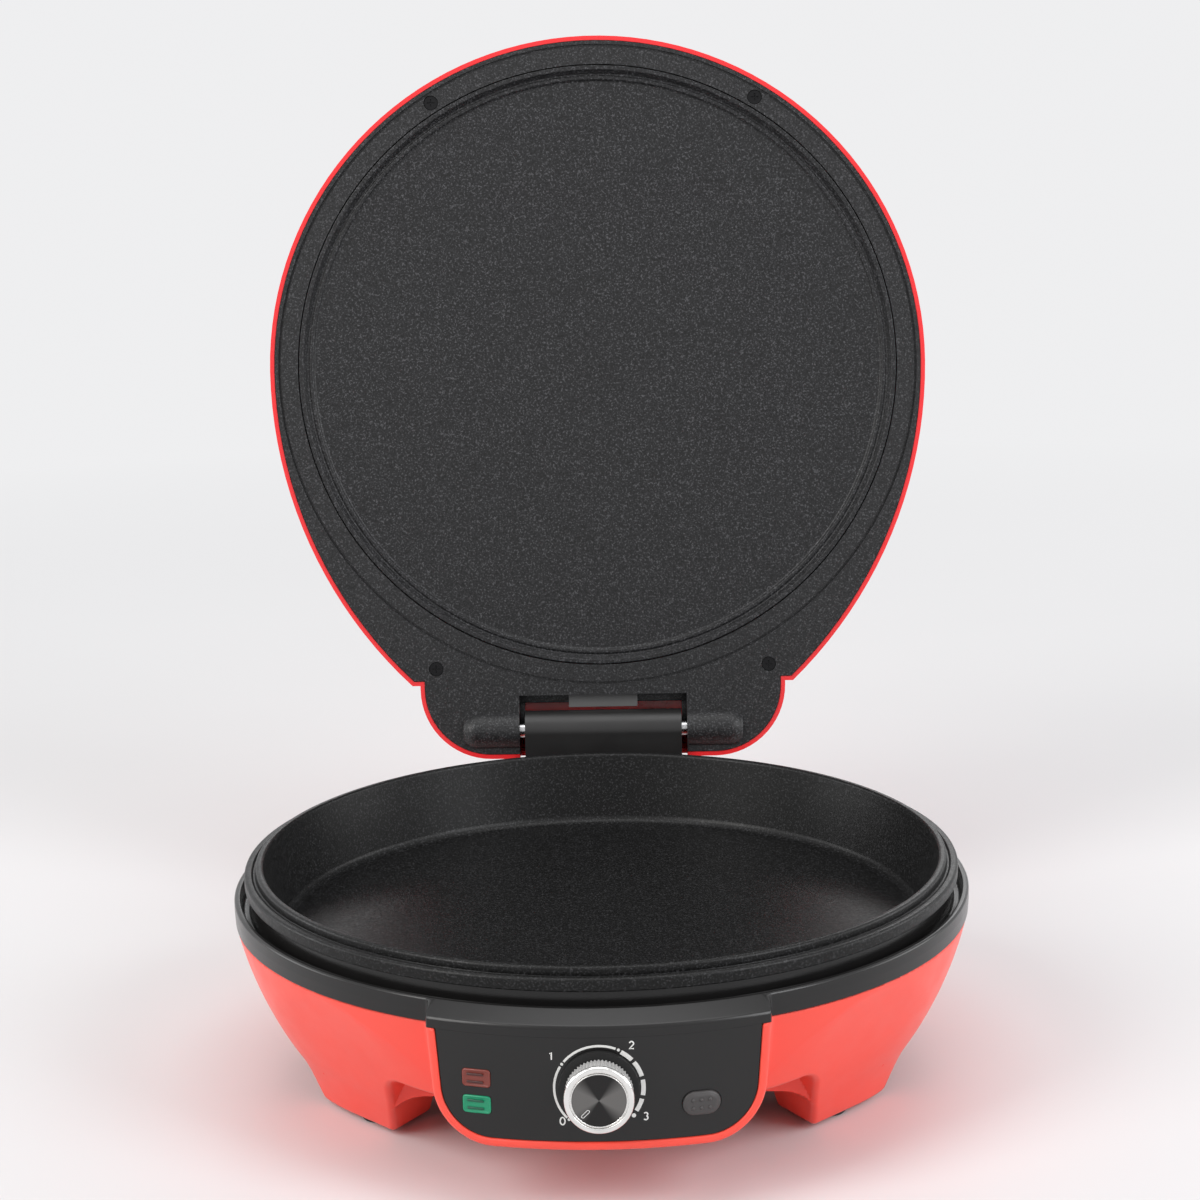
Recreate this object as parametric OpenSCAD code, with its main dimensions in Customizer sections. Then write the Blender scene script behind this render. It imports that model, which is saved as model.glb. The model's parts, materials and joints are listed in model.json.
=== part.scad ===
// Electric pizza maker: a round red base with a lift-out pan, and a domed lid
// with its own heated plate on a rear hinge. Drawn with the lid open on its stop.
// Millimetres. X is to the right, Y is to the back, Z is up from the table.
// Pieces are drawn about the axis of the pan; at_origin() then centres the whole.

/* [Base ring] */
// Outer radius of the black ring and of the round part of the lid
ring_r = 175; // [172:0.5:182]
// Height of the ring's top above the table
ring_top = 92.5; // [90:0.5:96]
// Height of the ring's outer band
ring_band_h = 11; // [9:0.5:14]
// Wall of the ring
ring_wall = 2.4; // [2:0.1:3]
// Depth of the trough between the ring's outer rim and its inner lip
trough_depth = 7; // [4:0.5:9]

/* [Pan] */
// How far the pan's flange stays inside the ring's outer face
pan_inset = 5.2; // [4.6:0.1:6]
// Width of the flange round the pan's rim
pan_flange_w = 9; // [8.6:0.1:11]
// Height of the pan's rim above the ring
pan_rise = 14.8; // [14:0.1:18]
// Depth from the rim to the pan's floor
pan_depth = 35; // [30:0.5:38]
// How much smaller the pan's flat floor is than its rim, in radius
pan_slope = 10.8; // [9:0.2:20]
// Thickness of the pan's wall and floor
pan_wall = 2.2; // [1.8:0.1:3]
// Height of the flange's turned-down skirt
flange_skirt_h = 6; // [4:0.5:7]

/* [Housing] */
// Wall of the red housing
housing_wall = 2.5; // [2:0.1:3]
// Radius of the bowl's curve in section
bowl_curve_r = 175; // [160:1:190]
// Height of the centre of the bowl's curve above the ring's lower edge
bowl_rise = 38; // [34:0.5:42]
// How far inside the ring the legs' outer face stands at the table
leg_inset = 32.5; // [30:0.5:36]
// Depth of a leg from its outer face inwards
leg_depth = 38; // [36:0.5:42]
// How far the flat face of each leg cuts into the round at the table
corner_cut = 11; // [8:0.5:13]
// Direction of the legs' flat faces, in degrees from the hinge's direction
corner_a = 43.5; // [40:0.5:46]
// Height of the housing's underside above the table
underside_z = 24; // [20:0.5:28]
// How far the front arch reaches above the panel's lower edge
arch_over_panel = 4.3; // [0:0.1:8]
// Half-width of the front arch at the table, at the legs' front corners
front_arch_half = 95.7; // [92:0.1:99]
// How far each side of the front arch opens outwards, in degrees
front_arch_turn = 32; // [26:1:36]
// Half-width of the rear arch at the table
rear_arch_half = 50; // [44:1:56]
// Half-width of the side arches at the table
side_arch_half = 50; // [44:1:54]
// How far the sides of the arches lean in, in degrees
arch_lean = 22; // [12:1:28]

/* [Feet and bottom cover] */
// Height of the rubber pads below the legs
foot_pad_h = 2; // [1:0.5:4]
// Radius of a rubber pad
foot_pad_r = 8; // [6:0.5:9]
// Width of the underside between the legs and the opening for the bottom cover
cover_edge = 12.5; // [12:0.5:20]
// Thickness of the bottom cover
cover_t = 2.5; // [2:0.1:3.5]

/* [Control panel] */
// How far the panel stands out in front of the ring
panel_out = 9; // [7:0.5:12]
// Distance of the panel's lower edge below the knob's axis
panel_drop = 24.3; // [23:0.1:26]
// Half-width of the surround at its top
surround_half = 75; // [72:0.5:78]
// Width of the red band round the panel
surround_band = 3.8; // [3:0.2:5]
// How much narrower each side of the surround is at its lower corners
surround_draft = 3; // [0:0.5:5]
// Radius of the surround's lower corners
surround_corner_r = 26; // [20:1:30]
// Thickness of the panel
panel_t = 2.4; // [2:0.1:3]
// Distance of the knob's and the thermostat's axis below the ring's underside
knob_drop = 23.1; // [22:0.1:26]

/* [Knob] */
// Radius of the chrome ring on the knob's front
knob_r = 15.1; // [13:0.1:16]
// How far the knob stands out of its collar
knob_len = 11; // [9:0.5:14]
// Radius of the dark disc on the knob's front
knob_disc_r = 11.5; // [10:0.1:12]
// Number of ribs round the knob
knob_ribs = 56; // [40:1:64]
// Radius of the collar round the knob
collar_r = 17.2; // [16.5:0.1:18]
// Radius of the thermostat's shaft
shaft_r = 3; // [2.5:0.1:3.5]

/* [Lamps and button] */
// Distance of the lamps from the centre line
lamp_x = 52.6; // [48:0.2:56]
// Height of the upper lamp's centre above the knob's axis
lamp_rise = 2.6; // [0:0.2:5]
// Distance between the lamps' centres
lamp_pitch = 12; // [10:0.2:13]
// Width of a lamp's lens
lens_w = 12.3; // [10:0.1:13]
// Height of a lamp's lens
lens_h = 8; // [6:0.1:9]
// Distance of the button from the centre line
button_x = 43.5; // [38:0.5:46]
// Distance of the button's centre below the knob's axis
button_drop = 9; // [6:0.5:11]
// Width of the oval button
button_w = 16.4; // [14:0.2:18]
// Height of the oval button
button_h = 10.6; // [9:0.2:12]
// How far the button can be pressed
button_travel = 2.5; // [1.5:0.1:3]

/* [Hinge] */
// Distance of the hinge axis behind the ring's outer face
hinge_back = 20; // [18.5:0.5:23]
// Height of the hinge axis above the lid's lower face when closed
hinge_above_face = 3.9; // [3:0.1:5]
// Radius of the hinge barrel
barrel_r = 10.5; // [9.5:0.1:11]
// Half-length of the hinge barrel
barrel_half = 42; // [36:0.5:43]
// Radius of the steel hinge pin
pin_r = 4; // [3:0.1:4.5]
// Radius of the two housings that hold the pin's ends
capsule_r = 10; // [9:0.1:11]
// Length of each pin housing
capsule_len = 30; // [24:0.5:32]
// Angle from the closed lid to the lid open on its stop
lid_open = 100; // [96:1:104]

/* [Lid] */
// Height of the dome above the lid's lower face
dome_h = 46; // [42:1:52]
// Radius of the dome's edge in section
dome_edge_r = 11; // [8:0.5:14]
// Radius of the dome's crown
crown_r = 598; // [560:1:640]
// Wall of the lid's shell
lid_wall = 2.3; // [2:0.1:3]
// How far the centres of the lid's rear side curves lie across the centre line
flare = 60; // [50:1:66]
// Distance of the lid's shoulders in front of the hinge axis
shoulder_front = 25; // [23:0.5:27]
// Distance of the lid's rear end behind the hinge axis
neck_back = 15; // [14.5:0.5:18]
// Radius of the rear corners
neck_corner_r = 38; // [34:1:42]
// How far the rear part beside the hinge stands inside the shoulders
neck_step = 4.25; // [3:0.25:7]
// Thickness of the lid's inner frame
frame_t = 3; // [2.5:0.1:3.5]
// Distance of the groove in the frame from the lid's edge
groove_inset = 5.2; // [4.8:0.1:6.4]
// Width of the groove in the frame
groove_w = 1.4; // [1:0.1:2]

/* [Upper plate and heaters] */
// Distance of the upper plate's edge from the lid's edge
plate_inset = 15.3; // [15.2:0.1:19]
// Width of the raised rim round the plate's flat face
plate_rim_w = 7.2; // [6.8:0.1:12]
// How far the flat face lies behind the plate's rim
plate_recess = 4; // [2:0.5:5]
// Thickness of the upper plate
plate_t = 2.5; // [2:0.1:3]
// Radius of the heating tubes
tube_r = 3.3; // [3:0.1:4]
// Distance of the heating tubes' loops from the ring's outer face
loop_inset = 70; // [63:1:85]
// Part of a turn that each heating loop takes, in degrees
loop_turn = 320; // [300:1:330]

/* [Lid grip] */
// Distance of the grip from the lid's front edge
grip_inset = 63; // [55:1:80]
// Half of the distance between the grip's two posts
grip_half = 48; // [40:1:56]
// Radius of the grip's bar
grip_r = 8; // [7:0.5:9]
// Clear height between the dome and the grip's bar
grip_clear = 20; // [18:1:24]

/* [Screws and clearances] */
// Radius of a screw's shank
screw_r = 1.9; // [1.5:0.1:2.2]
// Radius of a screw's head
head_r = 3.6; // [3:0.1:4]
// Gap between pieces that lie next to each other
gap = 0.3; // [0.2:0.05:0.4]
// Radial clearance of a shaft that turns or slides in its hole
run_clear = 0.05; // [0.02:0.01:0.1]

/* [Hidden] */
$fn = 96;
big = 400;

// Radii and distances that follow from the driving sizes
pan_flange_r = ring_r - pan_inset;
pan_rim_r = pan_flange_r - pan_flange_w;
pan_floor_r = pan_rim_r - pan_slope;
leg_foot_r = ring_r - leg_inset;
leg_in_r = leg_foot_r - leg_depth;
cover_hole_r = leg_in_r - cover_edge;
panel_r = ring_r + panel_out;
hinge_y = ring_r + hinge_back;
shoulder_y = hinge_y - shoulder_front;
neck_end_y = hinge_y + neck_back;
neck_half = sqrt(pow(ring_r + flare, 2) - shoulder_y * shoulder_y) - flare - neck_step;
groove_r = ring_r - groove_inset;
plate_r = ring_r - plate_inset;
plate_flat_r = plate_r - plate_rim_w;
loop_r = ring_r - loop_inset;
grip_y = ring_r - grip_inset;

// Heights that follow from the driving sizes
ring_z0 = ring_top - ring_band_h;
pan_top = ring_top + pan_rise;
lid_face_z = pan_top + gap;
hinge_z = lid_face_z + hinge_above_face;
pan_floor_z = pan_top - pan_depth;
pan_under_z = pan_floor_z - pan_wall;
brow_z = ring_top - 5;
brow_under_z = ring_top - trough_depth - ring_wall;
knob_z = brow_under_z - knob_drop;
panel_z0 = knob_z - panel_drop;
surround_z0 = panel_z0 - surround_band;
front_arch_z = panel_z0 + arch_over_panel;
lamp_hi_z = knob_z + lamp_rise;
lamp_lo_z = lamp_hi_z - lamp_pitch;
button_z = knob_z - button_drop;
bead_w = 3.6;
bead_h = 3.4;
flange_top = pan_top - bead_h;
lip_r0 = pan_rim_r + pan_wall + 1.2;
lip_top = flange_top - pan_wall - gap;

// Points along an arc of a circle, from angle a0 to angle a1 in n steps
function arc(cx, cy, r, a0, a1, n) =
  [for (i = [0:n]) [cx + r * cos(a0 + (a1 - a0) * i / n), cy + r * sin(a0 + (a1 - a0) * i / n)]];

// The origin lies under the middle of the whole object with its lid open
knob_front = panel_r + 3 + knob_len;
lid_back = hinge_y - (hinge_y + grip_y) * cos(lid_open)
  + (dome_z(grip_y) + grip_clear + 2 * grip_r - hinge_above_face) * sin(lid_open);
mid_y = (lid_back - knob_front) / 2;

module at_origin() {
  translate([0, -mid_y, 0]) children();
}

// Swings what is drawn in the closed lid's place up to the open lid's place
module in_lid() {
  at_origin() translate([0, hinge_y, hinge_z]) rotate([-lid_open, 0, 0])
    translate([0, -hinge_y, -hinge_z]) children();
}

// ---- Housing ----

// Centre of the bowl's curve in section
bowl_cr = ring_r - 0.5 - sqrt(bowl_curve_r * bowl_curve_r - bowl_rise * bowl_rise);
bowl_cz = ring_z0 + bowl_rise;
// The legs' outer face curves out to meet the bowl's curve
leg_curve_r = (pow(leg_foot_r - bowl_cr, 2) + bowl_cz * bowl_cz - bowl_curve_r * bowl_curve_r)
  / (2 * (bowl_curve_r - leg_foot_r + bowl_cr));
leg_cr = leg_foot_r + leg_curve_r;
blend_a = atan2(bowl_cz, leg_cr - bowl_cr);

// Half section of the bowl and legs, drawn t inside the outer face, from z0 to z1
module bowl_section(t, z0, z1) {
  intersection() {
    polygon(concat(
      [[0, -5]],
      arc(leg_cr, 0, leg_curve_r + t, 180 + 8, 180 - blend_a, 6),
      arc(bowl_cr, bowl_cz, bowl_curve_r - t, -blend_a, -asin(bowl_rise / bowl_curve_r), 8),
      [[ring_r - 0.5 - t, z1 + 5], [0, z1 + 5]]
    ));
    translate([0, z0]) square([ring_r + 5, z1 - z0]);
  }
}

// Each leg has one flat face, which leans out to the ring's lower edge
corner_d = leg_foot_r - corner_cut;
corner_lean = atan2(ring_r - corner_d, ring_z0);
corner_angles = [corner_a, 180 - corner_a, 180 + corner_a, 360 - corner_a];

// The bowl and its legs as one solid, drawn t inside the outer face, from z0 to z1
module bowl(t, z0, z1) {
  difference() {
    rotate_extrude($fn = 180) bowl_section(t, z0, z1);
    for (a = corner_angles)
      rotate([0, 0, a]) translate([corner_d - t / cos(corner_lean), 0, 0]) rotate([0, corner_lean, 0])
        translate([0, -big / 2, -30]) cube([60, big, ring_z0 / cos(corner_lean) + 30]);
  }
}

// Mirrors a list of points across the second axis, in reverse order
function mirrored(pts) = [for (i = [len(pts) - 1:-1:0]) [-pts[i][0], pts[i][1]]];

// Right side of an arch seen from the front: w at the table, z high, grown by t
arch_corner_r = 8;
function arch_side(w, z, t) =
  let (c = arch_corner_r, zc = z - c, xc = w - (c + zc * sin(arch_lean)) / cos(arch_lean))
  concat([[w + t / cos(arch_lean) + 10 * tan(arch_lean), -10]],
    arc(xc, zc, c + t, arch_lean, 90, 6));

module arch_2d(w, z, t) {
  polygon(concat(arch_side(w, z, t), mirrored(arch_side(w, z, t))));
}

// One side of the front arch, s = 1 on the right: it opens outwards from the leg's front corner
front_corner_y = (corner_d - front_arch_half * cos(corner_a)) / sin(corner_a);
module front_arch_side(s, t) {
  pts = concat(arch_side(0, front_arch_z, t), [[-big, front_arch_z + t], [-big, -10]]);
  translate([s * front_arch_half, -front_corner_y, 0]) rotate([0, 0, s * front_arch_turn])
    translate([0, big / 2, 0]) rotate([90, 0, 0]) linear_extrude(big)
      polygon(s > 0 ? pts : mirrored(pts));
}

// The spaces between the legs, grown by t
cover_r = cover_hole_r + 10;
front_step_y = cover_r + 1.5;
module arches(t) {
  // the front arch is higher in front of the bottom cover
  intersection() {
    front_arch_side(1, t);
    front_arch_side(-1, t);
    union() {
      translate([-big, -2 * big - front_step_y + t, -20]) cube([2 * big, 2 * big, big]);
      translate([-big, -2 * big, -20]) cube([2 * big, 2 * big, underside_z + t + 20]);
    }
  }
  translate([0, big, 0]) rotate([90, 0, 0])
    linear_extrude(big - 60) arch_2d(rear_arch_half, underside_z, t);
  rotate([90, 0, 90]) translate([0, 0, -big])
    linear_extrude(2 * big) arch_2d(side_arch_half, underside_z, t);
  translate([0, 0, -10]) cylinder(r = leg_in_r + t, h = underside_z + 10 + t);
}

// Outline of the panel's surround, t inside its outer edge
module surround_2d(t) {
  c = surround_corner_r;
  top = brow_z + 10;
  side_a = atan2(surround_draft, top - surround_z0 - c);
  right = concat(
    arc(surround_half - surround_draft - c, surround_z0 + c, c - t, 270, 360 - side_a, 10),
    [[surround_half - t, top]]
  );
  polygon(concat(right, mirrored(right)));
}

// A block behind the surround's outline, between two radii
module surround_block(t, r0, r1, z1) {
  intersection() {
    translate([0, -r0 * 0.85, 0]) rotate([90, 0, 0]) linear_extrude(60) surround_2d(t);
    difference() {
      cylinder(r = r1, h = z1, $fn = 180);
      translate([0, 0, -1]) cylinder(r = r0, h = z1 + 2, $fn = 180);
    }
  }
}

surround_back_r = ring_r - 25;
// Width of the ledge that the panel's edge lies on
surround_ledge = 2;
surround_floor_z = panel_z0 + surround_ledge;

// The rear pad carries the hinge block and the cord gland
pad_half = barrel_half + 6;
pad_y = hinge_y - 8.5;
pad_z0 = underside_z + 6;
pad_y0 = ring_r - 55;
pad_corner_r = 9;
module rear_pad(t) {
  c = pad_corner_r;
  right = concat(
    arc(pad_half - c, pad_z0 + c, c - t, 270, 360, 6),
    [[pad_half - t, ring_z0 - gap - t]]
  );
  translate([0, pad_y - t, 0]) rotate([90, 0, 0]) linear_extrude(pad_y - pad_y0 - t)
    polygon(concat(right, mirrored(right)));
}

// Places of the reflector's posts, the cover's screws and the hinge's screws
post_r = cover_hole_r - 8;
post_angles = [90, 210, 330];
cover_screw_r = cover_hole_r + 6;
cover_angles = [10, 170, 190, 350];
hinge_screw_x = 30;
block_z0 = ring_z0 - 33.5;
hinge_screw_z = [block_z0 + 6, block_z0 + 17];
// Each rubber pad lies near the leg's flat face, the front ones well behind the front corner
foot_d = corner_d - foot_pad_r - 1;
front_foot_y = side_arch_half + foot_pad_r + 10;
front_foot_x = (foot_d - front_foot_y * sin(corner_a)) / cos(corner_a);
rear_foot_x = rear_arch_half + foot_pad_r + 1;
rear_foot_y = (foot_d - rear_foot_x * cos(corner_a)) / sin(corner_a);
foot_places = [for (s = [-1, 1]) each [[s * front_foot_x, -front_foot_y], [s * rear_foot_x, rear_foot_y]]];
gland_x = 26;
gland_z = 38.8;
gland_r = 6.5;

module base_housing() {
  color("tomato") {
    difference() {
      union() {
        difference() {
          union() {
            bowl(0, foot_pad_h, ring_z0 - gap);
            rear_pad(0);
          }
          arches(0);
        }
        surround_block(0, surround_back_r, ring_r + 2, ring_z0 - gap);
        surround_block(0, ring_r + gap, panel_r + 1, brow_under_z - gap);
      }
      // hollow inside
      difference() {
        union() {
          bowl(housing_wall, foot_pad_h + housing_wall, ring_z0 + 20);
          rear_pad(housing_wall);
        }
        arches(housing_wall);
      }
      surround_hollow();
      surround_pocket();
      // opening for the bottom cover
      translate([0, 0, underside_z - 1]) cylinder(r = cover_hole_r, h = housing_wall + 2);
      for (a = cover_angles)
        rotate([0, 0, a]) translate([cover_screw_r, 0, 0]) cylinder(r = screw_r, h = big);
      // holes in the rear pad
      for (x = [-hinge_screw_x, hinge_screw_x], z = hinge_screw_z)
        translate([x, 0, z]) rotate([-90, 0, 0]) cylinder(r = screw_r + 0.2, h = big);
      translate([gland_x, 100, gland_z]) rotate([-90, 0, 0]) cylinder(r = gland_r + 0.1, h = big);
    }
  }
}

// The hollow of the surround, and the way from it into the bowl
way_half = surround_half - surround_draft - surround_corner_r + 12;
module surround_hollow() {
  surround_block(surround_band + surround_ledge, surround_back_r + housing_wall, panel_r, big);
  translate([-way_half, -panel_r + 11, front_arch_z + housing_wall])
    cube([2 * way_half, 40, big]);
}

// Room for the panel
module surround_pocket() {
  intersection() {
    translate([0, -ring_r * 0.7, 0]) rotate([90, 0, 0])
      linear_extrude(90) surround_2d(surround_band);
    difference() {
      cylinder(r = panel_r + 5, h = big, $fn = 180);
      translate([0, 0, -1]) cylinder(r = panel_r - panel_t - gap, h = big + 2, $fn = 180);
    }
  }
}

// ---- Ring ----

// Rounding of the ring's rim, the inside of that rim, and the outside of the trough's floor
rim_round = 1.5;
rim_in_r = ring_r - 3;
trough_out_r = ring_r - 4;
module ring_section() {
  w = ring_wall;
  top = ring_top;
  polygon(concat(
    [[ring_r - 0.4 - w, ring_z0], [ring_r - 0.4, ring_z0]],
    arc(ring_r - rim_round, top - rim_round, rim_round, 0, 90, 4),
    [
      [rim_in_r, top],
      [trough_out_r, top - trough_depth],
      [lip_r0 + w + 1, top - trough_depth],
      [lip_r0 + w, lip_top],
      [lip_r0, lip_top],
      [lip_r0, top - trough_depth - w],
      [ring_r - 3.4 - w, top - trough_depth - w]
    ]
  ));
}

// Half of the angle that the brow over the panel takes
brow_a = asin((surround_half + 1) / panel_r);
tab_t = 2;
tab_out_r = ring_r - 6.5;

module base_ring() {
  color([0.09, 0.085, 0.085]) {
    rotate_extrude(angle = 360 - 2 * brow_a, start = 270 + brow_a, $fn = 180) ring_section();
    rotate_extrude(angle = 2 * brow_a, start = 270 - brow_a, $fn = 180) brow_section();
    // tabs that drop inside the housing
    for (a = [20, 160, 200, 340])
      rotate([0, 0, a]) translate([tab_out_r - tab_t, -6, ring_z0 - 8])
        cube([tab_t, 12, brow_under_z + 0.5 - ring_z0 + 8]);
  }
}

// Section of the ring in front, where its band slopes out over the panel
module brow_section() {
  low = ring_top - trough_depth;
  polygon([
    [lip_r0, low - ring_wall], [panel_r - 0.4, low - ring_wall], [panel_r, low - ring_wall + 0.4],
    [panel_r, brow_z - 0.3], [panel_r - 0.6, brow_z + 0.3], [ring_r - 1, ring_top],
    [rim_in_r, ring_top], [trough_out_r, low], [lip_r0 + ring_wall + 1, low],
    [lip_r0 + ring_wall, lip_top], [lip_r0, lip_top]
  ]);
}

// ---- Control panel ----

module lens_2d(grow) {
  c = 1.6;
  hull() {
    for (sx = [-1, 1], sz = [-1, 1])
      translate([sx * (lens_w / 2 - c), sz * (lens_h / 2 - c)]) circle(r = c + grow, $fn = 24);
  }
}

module button_2d(grow) {
  r = button_h / 2;
  hull() {
    for (s = [-1, 1])
      translate([s * (button_w / 2 - r), 0]) circle(r = r + grow, $fn = 48);
  }
}

// Stands a flat outline at (x, z) and draws it from y0 to y1 in front of the pan's axis
module forward(x, z, y0, y1) {
  translate([x, -y0, z]) rotate([90, 0, 0]) linear_extrude(y1 - y0) children();
}

module control_panel() {
  color([0.07, 0.07, 0.07]) difference() {
    intersection() {
      translate([0, -ring_r * 0.8, 0]) rotate([90, 0, 0])
        linear_extrude(80) surround_2d(surround_band + gap);
      difference() {
        cylinder(r = panel_r, h = brow_under_z - gap, $fn = 180);
        translate([0, 0, -1]) cylinder(r = panel_r - panel_t, h = big, $fn = 180);
      }
    }
    for (z = [lamp_hi_z, lamp_lo_z])
      forward(-lamp_x, z, 100, big) lens_2d(0.15);
    forward(button_x, button_z, 100, big) button_2d(gap);
    forward(0, knob_z, 100, big) circle(r = shaft_r + 1.5);
  }
}

// ---- Pan ----

module pan_section() {
  w = pan_wall;
  fr = pan_flange_r;
  polygon([
    [0, pan_under_z], [pan_floor_r + 2, pan_under_z], [pan_floor_r + 4.5, pan_under_z + 2],
    [pan_rim_r + w - 1.2, flange_top - w - 6], [pan_rim_r + w - 0.4, flange_top - w],
    [fr - w, flange_top - w], [fr - w, flange_top - flange_skirt_h], [fr, flange_top - flange_skirt_h],
    [fr, flange_top - 1], [fr - 1, flange_top], [fr - 3.6, flange_top], [fr - 3.9, flange_top - 0.7],
    [pan_rim_r + bead_w + 0.3, flange_top - 0.7],
    [pan_rim_r + bead_w, pan_top - 1], [pan_rim_r + bead_w - 0.9, pan_top],
    [pan_rim_r + 0.9, pan_top], [pan_rim_r, pan_top - 1],
    [pan_rim_r - 0.9, pan_top - 5], [pan_floor_r + 4.2, pan_floor_z + 3.2],
    [pan_floor_r + 2.6, pan_floor_z + 1], [pan_floor_r, pan_floor_z], [0, pan_floor_z]
  ]);
}

module pan() {
  color([0.13, 0.13, 0.14]) rotate_extrude($fn = 180) pan_section();
}

// A steel hook under the pan that the latch holds down
lug_y = -(pan_floor_r - 7);
lug_foot_z = pan_under_z - 11;
hook_len = 6;
module pan_lug() {
  color([0.6, 0.6, 0.62]) translate([button_x, lug_y, 0]) {
    translate([-5, 0, lug_foot_z]) cube([10, 1.5, pan_under_z - lug_foot_z]);
    translate([-5, 0, lug_foot_z]) cube([10, hook_len, 1.5]);
    translate([-5, 0, pan_under_z - 1.5]) cube([10, 8, 1.5]);
  }
}

// ---- Lower heater ----

heater_z = pan_under_z - gap - tube_r;
reflector_r = loop_r + 21;
reflector_z = heater_z - 18.2;
post_top = reflector_z - gap;
reflector_t = 1;

// A heating tube bent round in a loop, with a stem of length drop under each end
stem_r = tube_r - 0.4;
stem_a = 90 - (360 - loop_turn) / 2 - 3;
module heater_loop(drop) {
  rotate([0, 0, 90 + (360 - loop_turn) / 2]) rotate_extrude(angle = loop_turn)
    translate([loop_r, 0]) circle(r = tube_r, $fn = 32);
  for (a = [stem_a, 180 - stem_a])
    rotate([0, 0, a]) translate([loop_r, 0, -drop]) cylinder(r = stem_r, h = drop, $fn = 32);
}

module lower_heater() {
  color([0.35, 0.34, 0.33]) translate([0, 0, heater_z]) {
    heater_loop(heater_z - reflector_z + 6);
    for (a = [stem_a, 180 - stem_a])
      rotate([0, 0, a])
        translate([loop_r, 0, reflector_z - heater_z - 12]) cylinder(r = 1.5, h = 7, $fn = 24);
  }
}

// Angles of the clips round a heating loop
clip_angles = [0, 180, 240, 300];
clip_len = 14;
clip_w = 8;
module heater_clips() {
  color([0.7, 0.7, 0.72])
    for (a = clip_angles)
      rotate([0, 0, a]) difference() {
        translate([loop_r - clip_len / 2, -clip_w / 2, reflector_z + reflector_t])
          cube([clip_len, clip_w, heater_z - reflector_z - reflector_t]);
        translate([loop_r, -clip_w, heater_z]) rotate([-90, 0, 0])
          cylinder(r = tube_r + gap, h = 2 * clip_w, $fn = 48);
      }
}

module lower_reflector() {
  t = reflector_t;
  color([0.75, 0.75, 0.77]) difference() {
    rotate_extrude() polygon([
      [0, reflector_z], [reflector_r - 10, reflector_z], [reflector_r, reflector_z + 8],
      [reflector_r, reflector_z + 8 + t], [reflector_r - 0.6, reflector_z + 8 + t],
      [reflector_r - 10.4, reflector_z + t], [0, reflector_z + t]
    ]);
    for (a = post_angles)
      rotate([0, 0, a]) translate([post_r, 0, 0]) cylinder(r = screw_r, h = big);
    for (a = [stem_a, 180 - stem_a])
      rotate([0, 0, a]) translate([loop_r, 0, 0]) cylinder(r = tube_r + 1, h = big);
  }
}

module reflector_screws() {
  color([0.6, 0.6, 0.62])
    for (a = post_angles)
      rotate([0, 0, a]) translate([post_r, 0, reflector_z + reflector_t]) {
        cylinder(r = head_r, h = 2);
        translate([0, 0, -8]) cylinder(r = screw_r - 0.1, h = 8.5);
      }
}

// ---- Thermostat and knob ----

thermo_y = panel_r - 36;
thermo_w = 34;
// Place and width of the arms that hold the thermostat to the panel
thermo_arm_x = 19;
thermo_arm_w = 4;
thermo_h = 2 * (pan_under_z - 1.5 - knob_z);
collar_y = panel_r;
module thermostat_body() {
  color([0.85, 0.83, 0.76]) difference() {
    union() {
      translate([-thermo_w / 2, -thermo_y - 14, knob_z - thermo_h / 2]) cube([thermo_w, 14, thermo_h]);
      forward(0, knob_z, thermo_y, thermo_y + 20) circle(r = 6);
      // mounting arms up to the back of the panel
      intersection() {
        for (s = [-1, 1])
          translate([s * thermo_arm_x - thermo_arm_w / 2, -panel_r, knob_z - 5])
            cube([thermo_arm_w, panel_r - thermo_y, 10]);
        cylinder(r = panel_r - panel_t - gap, h = big, $fn = 180);
      }
      translate([-thermo_arm_x - thermo_arm_w / 2, -thermo_y - 6, knob_z - 5])
        cube([2 * thermo_arm_x + thermo_arm_w, 6, 10]);
    }
    forward(0, knob_z, thermo_y - 1, big) circle(r = shaft_r + run_clear);
  }
}

module thermostat_shaft() {
  color("silver") forward(0, knob_z, thermo_y + gap, knob_front - 4) circle(r = shaft_r, $fn = 48);
}

module knob_collar() {
  color([0.1, 0.1, 0.1]) difference() {
    forward(0, knob_z, collar_y - 1.4, collar_y + 2.4) circle(r = collar_r);
    forward(0, knob_z, 0, big) circle(r = shaft_r + 1.5);
    // its back follows the panel's curve
    cylinder(r = panel_r + 0.02, h = big, $fn = 180);
  }
}

module knob() {
  y0 = collar_y + 3;
  rib_r = knob_r - 0.5;
  color([0.62, 0.62, 0.63]) difference() {
    union() {
      forward(0, knob_z, y0, knob_front - 1.6)
        polygon([for (i = [0:2 * knob_ribs - 1])
          (rib_r - (i % 2) * 0.7) * [cos(180 * i / knob_ribs), sin(180 * i / knob_ribs)]]);
      forward(0, knob_z, knob_front - 1.7, knob_front - 1) circle(r = knob_disc_r - 0.5);
    }
    forward(0, knob_z, 0, knob_front - 4 + gap) circle(r = shaft_r + 0.02, $fn = 48);
  }
}

module knob_ring() {
  color([0.9, 0.9, 0.9]) translate([0, -knob_front + 1.6, knob_z]) rotate([90, 0, 0])
    rotate_extrude() polygon([
      [knob_disc_r + 0.1, 0], [knob_r, 0], [knob_r, 0.7], [knob_r - 0.8, 1.5],
      [knob_disc_r + 1.3, 1.6], [knob_disc_r + 0.1, 1]
    ]);
}

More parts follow.
